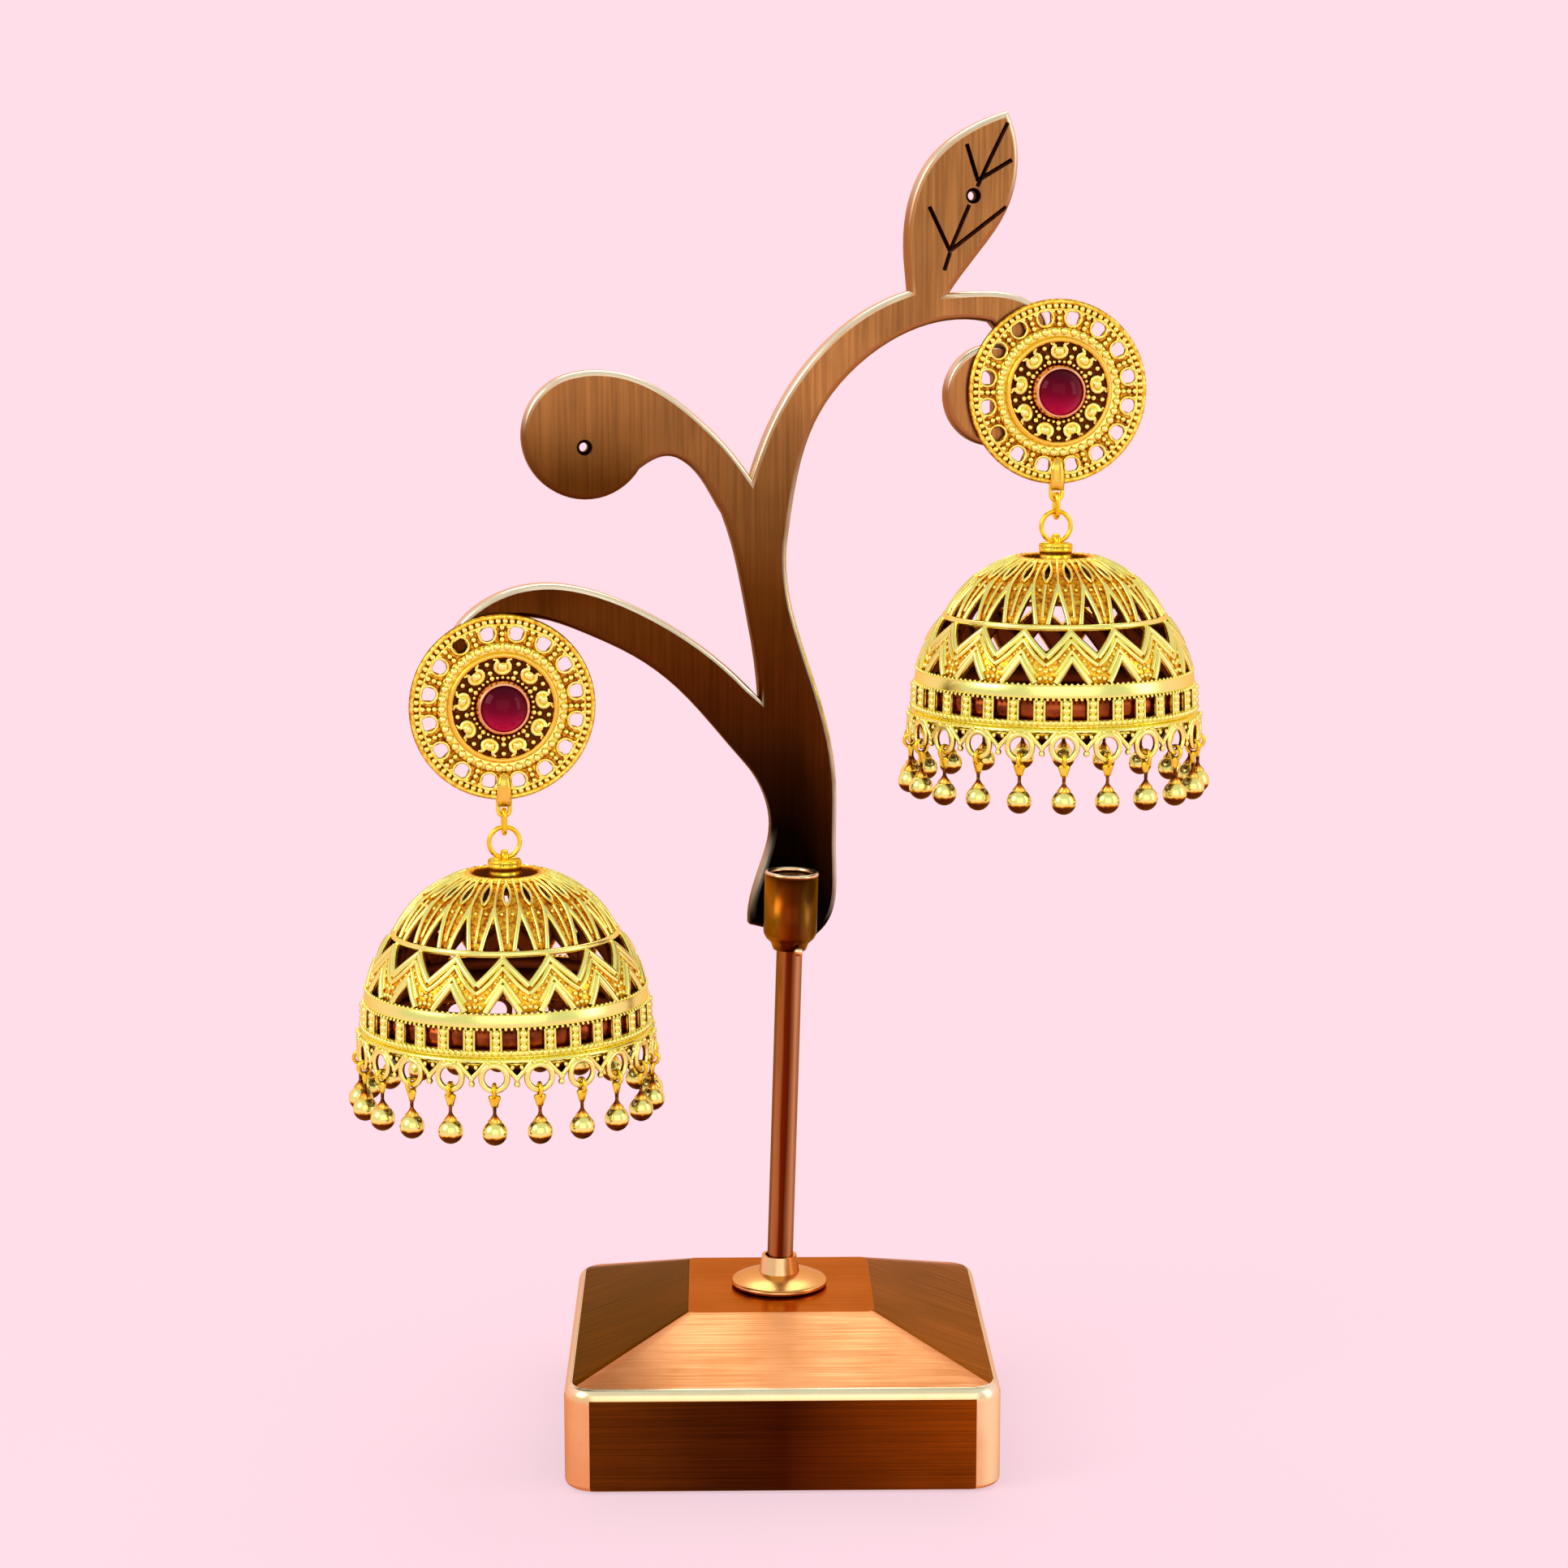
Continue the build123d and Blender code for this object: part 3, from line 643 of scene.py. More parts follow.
CROWN = DomeArc((4.65, DOME_TOP), (9.8, DOME_TOP - 2.9), (12.45, DOME_TOP - 6.5))
WALL = DomeArc((12.7, DOME_TOP - 6.9), (15.3, DOME_TOP - 11.6), (16.1, DOME_TOP - 16.4))


def dome_relief(spots):
    """How far each point stands off the dome's outside, or off the middle of the skirt's wire, whose inner side is
    painted in shade.
    """
    radii, heights = np.hypot(spots[:, 0], spots[:, 1]), spots[:, 2]
    lift = np.where(heights > DOME_TOP - 6.7, CROWN.lift(radii, heights), WALL.lift(radii, heights))
    lift = np.where((heights < DOME_RIM + 0.9) & (radii > 15.9), radii - 16.0, lift)
    # painted shade on the inner side of the skirt's wires
    lift = np.where(heights < DOME_RIM - 0.7, 0.45 - 4.2 * (LOOP_CIRCLE + 0.22 - radii).clip(0, 1), lift)
    return np.where((heights > DOME_TOP) & (radii < 3.0), 1.0, lift)


# half width in degrees, by the share of the way down the crown
PETAL_EDGE = [(0.0, 8.6), (0.52, 8.6), (0.6, 7.4), (0.8, 5.0), (0.96, 3.3), (1.0, 3.1)]
PETAL_SLOT = [(0.1, 0.0), (0.18, 2.6), (0.28, 3.4), (0.38, 2.6), (0.47, 0.0)]
PETAL_ROWS = (0.0, 0.06, 0.12, 0.18, 0.24, 0.3, 0.36, 0.42, 0.48, 0.54, 0.6, 0.7, 0.8, 0.9, 1.0)
THIRDS = (0, 0.33, 0.67, 1)
QUARTERS = (0, 0.25, 0.5, 0.75, 1)


def petals():
    """Petals with a slot above each and a gap between their tips, edged with wire."""
    parts = []
    for side in (-1, 1):
        def across(share, w, lift):
            inner, outer = (np.interp(share, *zip(*line)) for line in (PETAL_SLOT, PETAL_EDGE))
            return CROWN.at(side * (inner + (outer - inner) * w), share, lift)

        face = [[across(s, w, 0.06 - 0.12 * math.sin(math.pi * w)) for w in THIRDS] for s in PETAL_ROWS]
        parts += [
            plate(face, [[across(s, w, -DOME_WALL) for w in THIRDS] for s in PETAL_ROWS]),
            wire([[across(s, 1, 0.12) for s in (0.5, 0.56, 0.62, 0.7, 0.8, 0.9, 1.0)]], 0.3),
            wire([[across(s, 0, 0.14) for s in (0.02, 0.1, 0.16, 0.22, 0.28, 0.33, 0.38, 0.46)]], 0.18),
        ]
    parts += [
        wire([[CROWN.at(8.57, s, 0.1) for s in (0.0, 0.12, 0.24, 0.36, 0.5)]], 0.2),
        wire([[CROWN.at(0, s, 0.1) for s in (0.5, 0.6, 0.7, 0.8, 0.92)]], 0.2),
        grains([CROWN.at(w, 0.57, 0.05) for w in (-3.6, 3.6)], 0.24, 6, 4),
    ]
    return round_about(parts, PETALS, PETAL_START)


ZIGZAG_FOOT = 7.1  # degrees from an apex to the foot of the chevron below it


def zigzag():
    """Two zigzag wires, two chevrons under each point, and granules on the sunken plate between."""
    half = 180 / ZIGZAGS
    foot = ZIGZAG_FOOT / half
    to_foot = [foot * s for s in THIRDS]
    columns = (0, 0.16, 0.32, 0.48, foot, 0.75, 0.88, 1)
    parts = []
    for side in (-1, 1):
        def across(share, w, lift):
            upper, lower = 0.06 + 0.3 * share, 0.35 + 0.29 * min(share / foot, 1)
            return WALL.at(side * half * share, upper * (1 - w) + lower * w, lift)

        grid = ([[across(s, w, lift) for w in THIRDS] for s in columns] for lift in (0.02, -DOME_WALL))
        parts.append(plate(*grid))
        for shares, w, lift, radius in (
            (QUARTERS, 0, 0.16, 0.43),
            (to_foot, 1, 0.14, 0.4),
            (QUARTERS, 0.3, 0.1, 0.3),
            (to_foot, 0.74, 0.08, 0.26),
        ):
            parts.append(wire([[across(s, w, lift) for s in shares]], radius))
        parts.append(grains([across(s, 0.53, 0.04) for s in (0.1, 0.28, 0.46)], 0.22, 7, 4))
        parts.append(grains([across(0.8, w, 0.08) for w in (0.55, 0.85)], 0.3, 7, 4))
    parts.append(grains([WALL.at(half, s, 0.08) for s in (0.51, 0.58)], 0.3, 7, 4))
    parts.append(wire([[WALL.at(0, s, 0.1) for s in (-0.02, 0.08)]], 0.34))
    return round_about(parts, ZIGZAGS, ZIGZAG_START)


def window_posts():
    """The window band's posts, of three stacked beads between two thin bars, and its two linings, the outer one
    dark red-brown as painted shade in the windows.
    """
    top, bottom = WINDOW_TOP, WINDOW_BOTTOM
    face = [[(16.15, y, h) for y in (-0.55, 0.55)] for h in (bottom, top)]
    posts = [
        grains([(16.32, 0, h) for h in np.linspace(bottom + 0.42, top - 0.42, 3)], 0.48),
        wire([[(16.35, y, bottom), (16.25, y, top)] for y in (-0.56, 0.56)], 0.16, 5),
        plate(face, [[(15.5, y, h) for y in (-0.5, 0.5)] for h in (bottom, top)]),
    ]
    linings = []
    for inner, finish in ((15.66, ember), (15.5, antique_gold)):
        outer, low, high = inner + 0.16, bottom - 0.2, top + 0.2
        linings.append(turned_band([(inner, low), (outer, low), (outer, high), (inner, high)], finish=finish))
    return [*round_about(posts, WINDOWS, 180 / WINDOWS), *linings]


def dome_bands():
    """The turned parts: recess and washer, top wire, broad band and rim. Then rows of fine beads."""
    recess = [(0, -5.4), (4.2, -5.4), (4.9, -4.9), (5.1, -4.3)]
    recess += [CROWN.profile(s, 0.12) for s in (0.06, 0.03, 0)]
    recess += [(4.3, -3.38), (3.75, -3.5), (3.65, -4.5), (0, -4.6)]
    broad = [(15.1, -16.5), (15.9, -16.42), (16.06, -16.48), (16.14, -16.62), (16.3, -17.72), (16.28, -17.88)]
    broad += [(16.15, -17.95), (15.3, -17.95)]
    rim = [(15.3, -20.4), (16.3, -20.4), (16.48, -20.55), (16.48, -20.9), (16.15, -21.0), (16.15, -21.3)]
    rim += [(16.45, -21.35), (16.68, -21.6), (16.62, -21.85), (15.9, -21.85), (15.3, -21.0)]
    parts = [turned_band(line) for line in (recess, oval(12.78, DOME_TOP - 6.75, 0.34, 0.36), broad, rim)]
    for radius, height, size, count in (
        (16.05, DOME_TOP - 12.82, 0.2, 150),
        (16.3, DOME_TOP - 14.45, 0.2, 160),
        (16.52, DOME_RIM + 0.48, 0.32, 150),
    ):
        parts += round_about([grains([(radius, 0, height)], size, 7, 4)], count)
    return parts


def cap():
    """The turned cap, with a slot across it and the eye that the ring passes through."""
    body = [(0, -4.8), (1.5, -4.8), (1.75, -4.0), (2.05, -3.7), (1.7, -3.4), (1.9, -3.0)]
    body += [(CAP_RADIUS, -2.7), (CAP_RADIUS, SLOT_FLOOR), (0, SLOT_FLOOR)]
    parts = [turned_band(body, 48, bright_gold)]
    start = math.asin(SLOT_WIDTH / 2 / CAP_RADIUS)
    levels = ((SLOT_FLOOR - 0.2, 1.0), (CAP_TOP - 0.22, 1.0), (CAP_TOP - 0.05, 0.93), (CAP_TOP, 0.8))
    for side in (-1, 1):
        arc = np.linspace(start, math.pi - start, 15)
        outline = np.array([(CAP_RADIUS * math.cos(a), side * CAP_RADIUS * math.sin(a)) for a in arc])
        middle = outline.mean(axis=0)
        rings = [[(*(middle + (p - middle) * share), height) for p in outline] for height, share in levels]
        parts.append(lofted(rings, bright_gold))
    section = oval((EYE_HOLE + EYE_RADIUS) / 2, 0, (EYE_RADIUS - EYE_HOLE) / 2, EYE_THICKNESS / 2, 12)
    eye = turned_band(section, 32, bright_gold)
    eye.transform(Matrix.Translation((0, 0, -RING_RADIUS)) @ Matrix.Rotation(math.pi / 2, 4, "Y"))
    return [*parts, eye]


PRISM = [(0, 1, 2), (5, 4, 3), (0, 3, 4, 1), (1, 4, 5, 2), (2, 5, 3, 0)]  # faces between two triangles


def skirt():
    """Round wire loops under the rim, with forked wires and granules between them."""
    half = 180 / LOOPS
    joint, fork_top = LOOP_CENTRE - 0.1, DOME_RIM - 0.5

    def hung(azimuth, height, out=0.0):
        return ringed(LOOP_CIRCLE + out, azimuth, height)

    ring = [(LOOP_RADIUS * math.sin(a), LOOP_RADIUS * math.cos(a)) for a in turns(24)]
    fork = [[hung(half, joint), hung(half + side * 5.6, fork_top)] for side in (-1, 1)]
    corners = ((half, joint + 0.2), (half - 5.2, fork_top), (half + 5.2, fork_top))
    small = [hung(side * 2.0, LOOP_CENTRE + LOOP_RADIUS + 0.28, 0.22) for side in (-1, 1)]
    small += [hung(half + side * 1.7, DOME_RIM - 1.0, 0.1) for side in (-1, 1)]
    parts = [
        wire([[(LOOP_CIRCLE, y, LOOP_CENTRE + z) for y, z in ring]], 0.34, 8, closed=True),
        wire(fork, 0.3),
        grains([hung(half, joint, 0.05), hung(half, joint - 0.62)], 0.36),
        grains(small, 0.27, 6, 4),
        skin([hung(*corner, out) for out in (-0.3, -0.5) for corner in corners], PRISM),
    ]
    return round_about(parts, LOOPS, LOOP_START)


# ======== the small drops
def drop_relief(spots):
    """Bright hooks and bead tops. The beads' undersides are painted dark as shade, and the stems are darker."""
    heights = spots[:, 2]
    under = (BEAD_CENTRE - heights) / BEAD_RADIUS
    stem = (heights > BEAD_CENTRE + 1.5) & (heights < LOOP_CENTRE - LOOP_RADIUS - 1.2)
    # painted shade under each bead, darkest at its bottom
    return np.where(under > -0.1, 0.5 - 2.2 * under.clip(0, 1), np.where(stem, -0.2, 0.5))


def small_drops():
    """Each drop: an eye through the skirt's loop, a wedge, a stem, a collar and a bead."""
    top, eye_radius = LOOP_CENTRE - LOOP_RADIUS, 0.72
    eye = [(LOOP_CIRCLE + eye_radius * math.sin(a), 0, top + eye_radius * math.cos(a)) for a in turns(14)]
    wedge = [(0, top - 0.5), (0.5, top - 0.55), (0.62, top - 0.75), (0.3, top - 1.9), (0, top - 1.95)]
    stem = [(0, top - 1.8), (0.21, top - 1.8), (0.19, BEAD_CENTRE + 2.2), (0.3, BEAD_CENTRE + 1.9)]
    stem += [(0.78, BEAD_CENTRE + 1.32), (0.7, BEAD_CENTRE + 1.0), (0, BEAD_CENTRE + 1.0)]
    half_turn = np.linspace(0, math.pi, 13)
    ball = [(BEAD_RADIUS * math.sin(a), BEAD_CENTRE + BEAD_RADIUS * math.cos(a)) for a in half_turn]
    turned = [turned_band(wedge, 8, bright_gold), turned_band(stem, 8, orange_gold), turned_band(ball, 18)]
    turned[0].transform(Matrix.Diagonal((0.55, 1.15, 1, 1)))
    for piece in turned:
        piece.transform(Matrix.Translation((LOOP_CIRCLE, 0, 0)))
    return round_about([wire([eye], 0.24, 6, bright_gold, closed=True), *turned], LOOPS, LOOP_START)


# ======== the stud
def pierced_ring():
    """The ring of round holes, with a collar round each and radial granules between them."""
    half = 180 / STUD_HOLES
    edge = [ringed(9.6, a, STUD_TOP) for a in np.linspace(-half, half, 7)]
    edge += [ringed(7.4, a, STUD_TOP) for a in np.linspace(half, -half, 7)]

    def circle(radius, angles, height):
        return [(STUD_HOLE_CIRCLE + radius * math.cos(a), radius * math.sin(a), height) for a in angles]

    hole = circle(STUD_HOLE_RADIUS, [math.atan2(y, x - STUD_HOLE_CIRCLE) for x, y, z in edge], STUD_TOP)
    under = [[(x, y, STUD_BACK) for x, y, z in ring] for ring in (hole, edge)]
    parts = [
        lofted([edge, hole, *under], hollow=True),
        wire([circle(1.0, turns(18), STUD_TOP + 0.1)], 0.17, closed=True),
        grains([ringed(r, half, STUD_TOP + 0.2) for r in (7.75, 8.4, 9.1)], 0.34, 7),
        grains([ringed(9.15, half + side * 4.6, STUD_TOP + 0.12) for side in (-1, 1)], 0.24, 6, 4),
    ]
    return round_about(parts, STUD_HOLES, half)


def florets():
    """Curled wire florets round the bezel, with granules in and between them."""
    curl = [
        (FLORET_CIRCLE + 0.72 * math.cos(a), 0.86 * math.sin(a), 0.5 + 0.12 * math.cos(a))
        for a in np.linspace(0.5, 2 * math.pi - 0.5, 14)
    ]
    tails = [[curl[-1], (5.55, -1.05, 0.5)], [curl[0], (5.55, 1.05, 0.5)]]
    seeds = [ringed(5.25, 20, 0.5), ringed(4.2, 20, 0.5), ringed(3.55, 20, 0.45)]
    fine = [ringed(3.45, a, 0.5) for a in (-10, 0, 10)] + [ringed(5.5, a, 0.5) for a in (-7, 7)]
    parts = [
        wire([curl], 0.27),
        wire(tails, 0.17, 5),
        grains([(FLORET_CIRCLE, 0, 0.3)], 0.66, 12, 8),
        grains(seeds, 0.34, 7),
        grains(fine, 0.22, 6, 4),
    ]
    return round_about(parts, FLORETS, 90)


def stud_bands():
    """The turned parts of the stud: floor, rim, bezel and raised rings, and two rows of granules."""
    floor = [(0, STUD_BACK), (7.5, STUD_BACK), (7.5, STUD_TOP), (7.2, 0.35), (6.4, 0.5)]
    floor += [(6.1, 0.2), (5.7, 0.1), (0, 0.1)]
    rim = [(9.5, STUD_BACK), (10.45, STUD_BACK), (STUD_RADIUS, -0.1), (10.55, STUD_TOP)]
    rim += [(10.4, 0.3), (10.15, 0.3), (10.0, 0.05), (9.5, 0.1)]
    bezel = [(STONE_RADIUS, 0.1), (3.25, 0.1), (3.3, 0.35), (3.05, 0.6), (2.95, 1.45)]
    bezel += [(2.75, 1.68), (2.6, 1.6)]
    return [
        turned_band(floor),
        turned_band(rim),
        turned_band(bezel, 64, bezel_gold),
        turned_band(oval(6.0, 0.6, 0.3, 0.35), finish=orange_gold),
        turned_band(oval(9.38, 0.2, 0.16, 0.2)),
        *round_about([grains([(9.8, 0, 0.2)], 0.37, 7)], 78),
        *round_about([grains([(6.95, 0, 0.5)], 0.52, 6, 4)], 38),
    ]


def stud_hanger(link_top):
    """The wire loop that carries the link, the tab over the lower rim, and the ear post behind.

    The tab is given as (height, half width).
    """
    reach, bend = LOOP_HALF_WIDTH, link_top + LOOP_HALF_WIDTH
    loop = [(-reach, bend + 1.7, 0), (-reach, bend + 0.8, 0)]
    lower_half = np.linspace(math.pi, 2 * math.pi, 11)
    loop += [(reach * math.cos(a), bend + reach * math.sin(a), 0) for a in lower_half]
    loop += [(reach, bend + 0.8, 0), (reach, bend + 1.7, 0)]
    tab = [(bend + 0.5, 0.72), (bend + 1.6, 0.85), (bend + 2.8, 0.8), (bend + 4.2, 0.62)]
    columns = (-1, -0.5, 0, 0.5, 1)
    face = [[(w * half, y, 0.78 - 0.25 * w**2) for w in columns] for y, half in tab]
    back = [[(w * half, y, 0.1) for w in columns] for y, half in tab]
    foot, end = STUD_BACK + 0.1, STUD_BACK - EAR_POST_LENGTH
    post = [(0, foot), (EAR_POST_RADIUS, foot), (EAR_POST_RADIUS, end + 0.25)]
    post += [(EAR_POST_RADIUS - 0.2, end), (0, end)]
    return [
        wire([loop], 0.26, 10, bright_gold),
        plate(face, back, orange_gold),
        turned_band(post, 20, bright_gold),
    ]


def stud_relief(spots):
    """Height in front of the stud's floor, which keeps its oxide inside the raised ring."""
    inside = np.hypot(spots[:, 0], spots[:, 1]) < 5.8
    return spots[:, 2] - np.where(inside, 0.42, 0.2)


# ======== the stand
SHEET, EDGE, GROOVE = range(3)  # the sheet's finishes; GROOVE is painted shade
VEIN_SLANT = math.cos(math.atan(2 * VEIN_DEPTH / VEIN_WIDTH))
VEINS = [  # across the sheet and up, in mm
    [(19.7, 134.2), (20.6, 137.0), (22.5, 141.4)],
    [(23.5, 143.6), (25.0, 146.8), (26.9, 150.6)],
    [(17.9, 141.2), (20.3, 136.3), (26.8, 141.2)],
    [(22.2, 148.2), (23.5, 144.2), (27.4, 146.5)],
]


def outlines(patch):
    """The closed lines of corners round a patch of faces, with the patch on their left."""
    following = {}
    for face in patch:
        for loop in face.loops:
            if not all(other in patch for other in loop.edge.link_faces):
                following[loop.vert] = loop.link_loop_next.vert
    lines = []
    while following:
        start, here = following.popitem()
        line = [start.co.copy()]
        while here is not start:
            line.append(here.co.copy())
            here = following.pop(here)
        lines.append(line)
    return lines


def drawn_in(line, facing, inwards):
    """A closed line moved towards the patch on its left, or away from it if inwards is less than 0.

    Round a sharp corner, the points that the move swallows meet at one place.
    """
    count = len(line)
    sides = [facing.cross((line[(i + 1) % count] - line[i]).normalized()) for i in range(count)]
    moved = [
        here + (sides[i - 1] + sides[i]) * inwards / max(1 + sides[i - 1].dot(sides[i]), 0.4)
        for i, here in enumerate(line)
    ]
    for i, here in enumerate(line):
        turn = sides[i - 1].angle(sides[i])
        if turn > math.radians(30) and sides[i - 1].cross(sides[i]).dot(facing) > 0:
            for step in (-1, 1):
                j = i + step
                while (line[j % count] - here).length < inwards * math.tan(turn / 2):
                    moved[j % count] = moved[i]
                    j += step
    return moved


def cut_sheet(forward):
    """The cut-out sheet: flat faces, a front edge rounded all along, countersunk holes, engraved veins."""
    solid = frame["nodes"]["tree"].data.copy()
    solid.transform(Matrix.Scale(1 / MM, 4))
    shape = bmesh.new()
    shape.from_mesh(solid)
    bmesh.ops.remove_doubles(shape, verts=shape.verts, dist=0.12)
    back = min(vertex.co.dot(forward) for vertex in shape.verts)
    behind = {face for face in shape.faces if max(v.co.dot(forward) for v in face.verts) < back + 0.01}
    points, faces = [], []

    def add(line):
        points.extend(line)
        return list(range(len(points) - len(line), len(points)))

    edges, backs = [], []
    for line in outlines(behind):
        rows, soft = [line], SOFT_EDGE
        if max((p - line[0]).length for p in line) < 4:  # a hole, countersunk from the front
            neck = drawn_in(line, -forward, -HOLE_NECK)
            rows, soft = [neck, [p + forward * HOLE_NECK_DEPTH for p in neck]], HOLE_EDGE
        for turn in np.radians((0, 22.5, 45, 67.5, 90)):
            inwards = soft * (1 - math.cos(turn))
            height = SHEET_THICKNESS - soft * (1 - math.sin(turn))
            rows.append([p + forward * height for p in drawn_in(line, -forward, inwards)])
        rows = [add(row) for row in rows]
        faces += walls(rows)
        backs.append(rows[0])
        edges.append(rows[-1])
    shape.free()
    across = Vector((0, 0, 1)).cross(forward)
    for lines in (backs, edges):
        lines = [[i for i, j in zip(line, line[1:] + line[:1]) if points[i] != points[j]] for line in lines]
        flat = [[Vector((points[i].dot(across), points[i].z, 0)) for i in line] for line in lines]
        order = [i for line in lines for i in line]
        faces += [[order[i] for i in corners] for corners in tessellate_polygon(flat)]
    return engraved(skin(points, faces), across, forward, back + SHEET_THICKNESS)


def engraved(sheet, across, forward, front):
    """The sheet with the leaf's veins cut into its front as V grooves."""
    points, faces = [], []
    for path in VEINS:
        for ends in zip(path, path[1:]):
            start, end = (across * x + Vector((0, 0, z)) + forward * front for x, z in ends)
            along = (end - start).normalized()
            side, depth = along.cross(forward) * VEIN_WIDTH, forward * VEIN_DEPTH
            faces += [[len(points) + c for c in face] for face in PRISM]
            for place in (start - along * 0.1, end + along * 0.1):
                points += [place - side + depth, place + side + depth, place - depth]
    blank = placed("blank", sheet)
    cutter = placed("cutter", skin(points, faces))
    cut = blank.modifiers.new("veins", "BOOLEAN")
    cut.operation = "DIFFERENCE"
    cut.solver = "EXACT"
    cut.use_self = True
    cut.object = cutter
    made = result(blank)
    bpy.data.objects.remove(cutter)
    made.materials.clear()
    for finish in (sheet_copper, sheet_edge_copper, dark_copper):
        made.materials.append(finish)
    return made


def tree_sheet():
    """The sheet, and on its foot the socket that holds the post."""
    forward = -Vector(joints["left_drop_swing"]["axis"])
    sheet = cut_sheet(forward)
    holes = [Vector(mount["pos_m"]) / MM for mount in frame["record"]["mounts"] if mount["kind"] == "bore"]
    for face in sheet.polygons:
        facing = face.normal.dot(forward)
        flat = abs(facing) > 0.999
        in_hole = any((face.center - hole).length < 1.4 for hole in holes)
        in_vein = abs(facing - VEIN_SLANT) < 0.02
        face.use_smooth = not flat and not in_vein
        # painted shade in the holes and on the vein walls that face down; the vein walls that face up take the
        # edge's painted highlight
        dark = in_hole and not flat or in_vein and face.normal.z < 0.1
        face.material_index = GROOVE if dark else SHEET if flat else EDGE
    shape = bmesh.new()
    shape.from_mesh(sheet)
    for edge in shape.edges:
        edge.smooth = edge.calc_face_angle(0) < math.radians(35)
    shape.to_mesh(sheet)
    shape.free()
    socket = [(1.55, 40.2), (1.9, 40.2), (2.2, 41.0), (2.75, 41.5), (3.03, 42.0), (3.1, 42.4), (3.1, 48.9)]
    socket += [(2.5, 48.7), (2.3, 48.5), (1.55, 48.5)]
    rim = [(3.1, 48.85), (3.12, 49.1), (3.02, 49.32), (2.85, 49.4), (2.66, 49.34), (2.5, 49.1), (2.45, 48.6)]
    lid = [(0, 46.0), (2.0, 46.0), (2.0, 48.7), (1.9, 48.85), (0, 48.9)]
    lean = Matrix.Rotation(math.radians(POST_LEAN), 4, "Y")
    seat = Matrix.Translation((0, 0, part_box("base")[1].z / MM)) @ lean
    parts = [sheet]
    # painted reflection on the socket, painted highlight on its rim, and painted shade on the lid down inside it
    for outline, finish in ((socket, socket_copper), (rim, edge_copper), (lid, dark_copper)):
        parts.append(turned_band(outline, 48, finish))
        parts[-1].transform(seat)
    # the set screw takes the shoulder's painted highlight and shade
    parts.append(grains([SET_SCREW], 0.52, 16, 10, shoulder_copper))
    solder("tree_sheet", "root", parts, Matrix.Identity(4), "tree")


SLOPE, SHOULDER, CORNER, WALL_SIDE, LEFT_SLOPE, RIGHT_SLOPE, PLATFORM = range(7)  # the base's finishes, with light and shade painted by which way a face looks


def rounded_square(half, corner, height):
    """Points in metres, round a square with rounded corners whose sizes are in millimetres."""
    points = []
    for quarter, signs in enumerate(((1, 1), (-1, 1), (-1, -1), (1, -1))):
        for angle in np.linspace(quarter, quarter + 1, 9) * math.pi / 2:
            x, y = ((half - corner) * sign for sign in signs)
            points.append(Vector((x + corner * math.cos(angle), y + corner * math.sin(angle), height)) * MM)
    return points


def square_base():
    """The base: walls painted dark as shade, a soft shoulder with a painted highlight, four slopes painted lit and
    shaded, and the small platform.
    """
    low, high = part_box("base")
    half, top = (high.x - low.x) / 2 / MM, high.z / MM
    side_top, platform = BASE_SIDE_HEIGHT - BASE_SHOULDER, PLATFORM_WIDTH / 2
    sections = [  # half width, corner radius, height
        (half - BASE_CHAMFER, BASE_CORNER - 0.3, 0.0),
        (half, BASE_CORNER, BASE_CHAMFER),
        (half, BASE_CORNER, side_top),
    ]
    for turn in np.radians(np.linspace(15, 90, 6)):
        inwards, up = SHOULDER_WIDTH * (1 - math.cos(turn)), SHOULDER_RISE * math.sin(turn)
        sections.append((half - inwards, BASE_CORNER - inwards, side_top + up))
    sections += [(platform + 0.5, 1.2, top - 0.2), (platform, 1.0, top)]
    mesh = lofted([rounded_square(*section) for section in sections], slope_copper)
    for finish in (shoulder_copper, corner_copper, front_copper, left_copper, right_copper, platform_copper):
        mesh.materials.append(finish)
    for face in mesh.polygons:
        face.material_index = base_finish(face.normal)
    piece = placed("square_base", mesh)
    soft = piece.modifiers.new("soft_edges", "BEVEL")
    soft.width = 0.00025
    soft.segments = 3
    soft.limit_method = "ANGLE"
    soft.angle_limit = math.radians(15)
    soft.harden_normals = True
    soft.use_clamp_overlap = False
    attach(piece, "root")
    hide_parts("base")


def base_finish(normal):
    """Which finish a face of the base has, by which way the face looks, so that light and shade are painted on it.
    """
    across, along = abs(normal.x), abs(normal.y)
    if normal.z > 0.99:
        return PLATFORM
    if normal.z > 0.9:
        if along > 0.7 * across:
            return SLOPE
        return RIGHT_SLOPE if normal.x > 0 else LEFT_SLOPE
    if normal.z > 0.15:
        return SHOULDER
    if min(across, along) > 0.12 * max(across, along):
        return CORNER
    return WALL_SIDE


# ======== making and setting the pieces
def hanging_seat(side):
    """The earring's own frame: centre of its ring, X across the sheet, Y back, Z up."""
    swing = joints[f"{side}_drop_swing"]
    back = Vector(swing["axis"]).normalized()
    up = Vector((0, 0, 1))
    turned = Matrix((back.cross(up), back, up)).transposed().to_4x4()
    return Matrix.Translation(Vector(swing["pos_m"])) @ turned


dome_parts = [*petals(), *zigzag(), *window_posts(), *dome_bands(), *cap(), *skirt()]
drop_parts = small_drops()

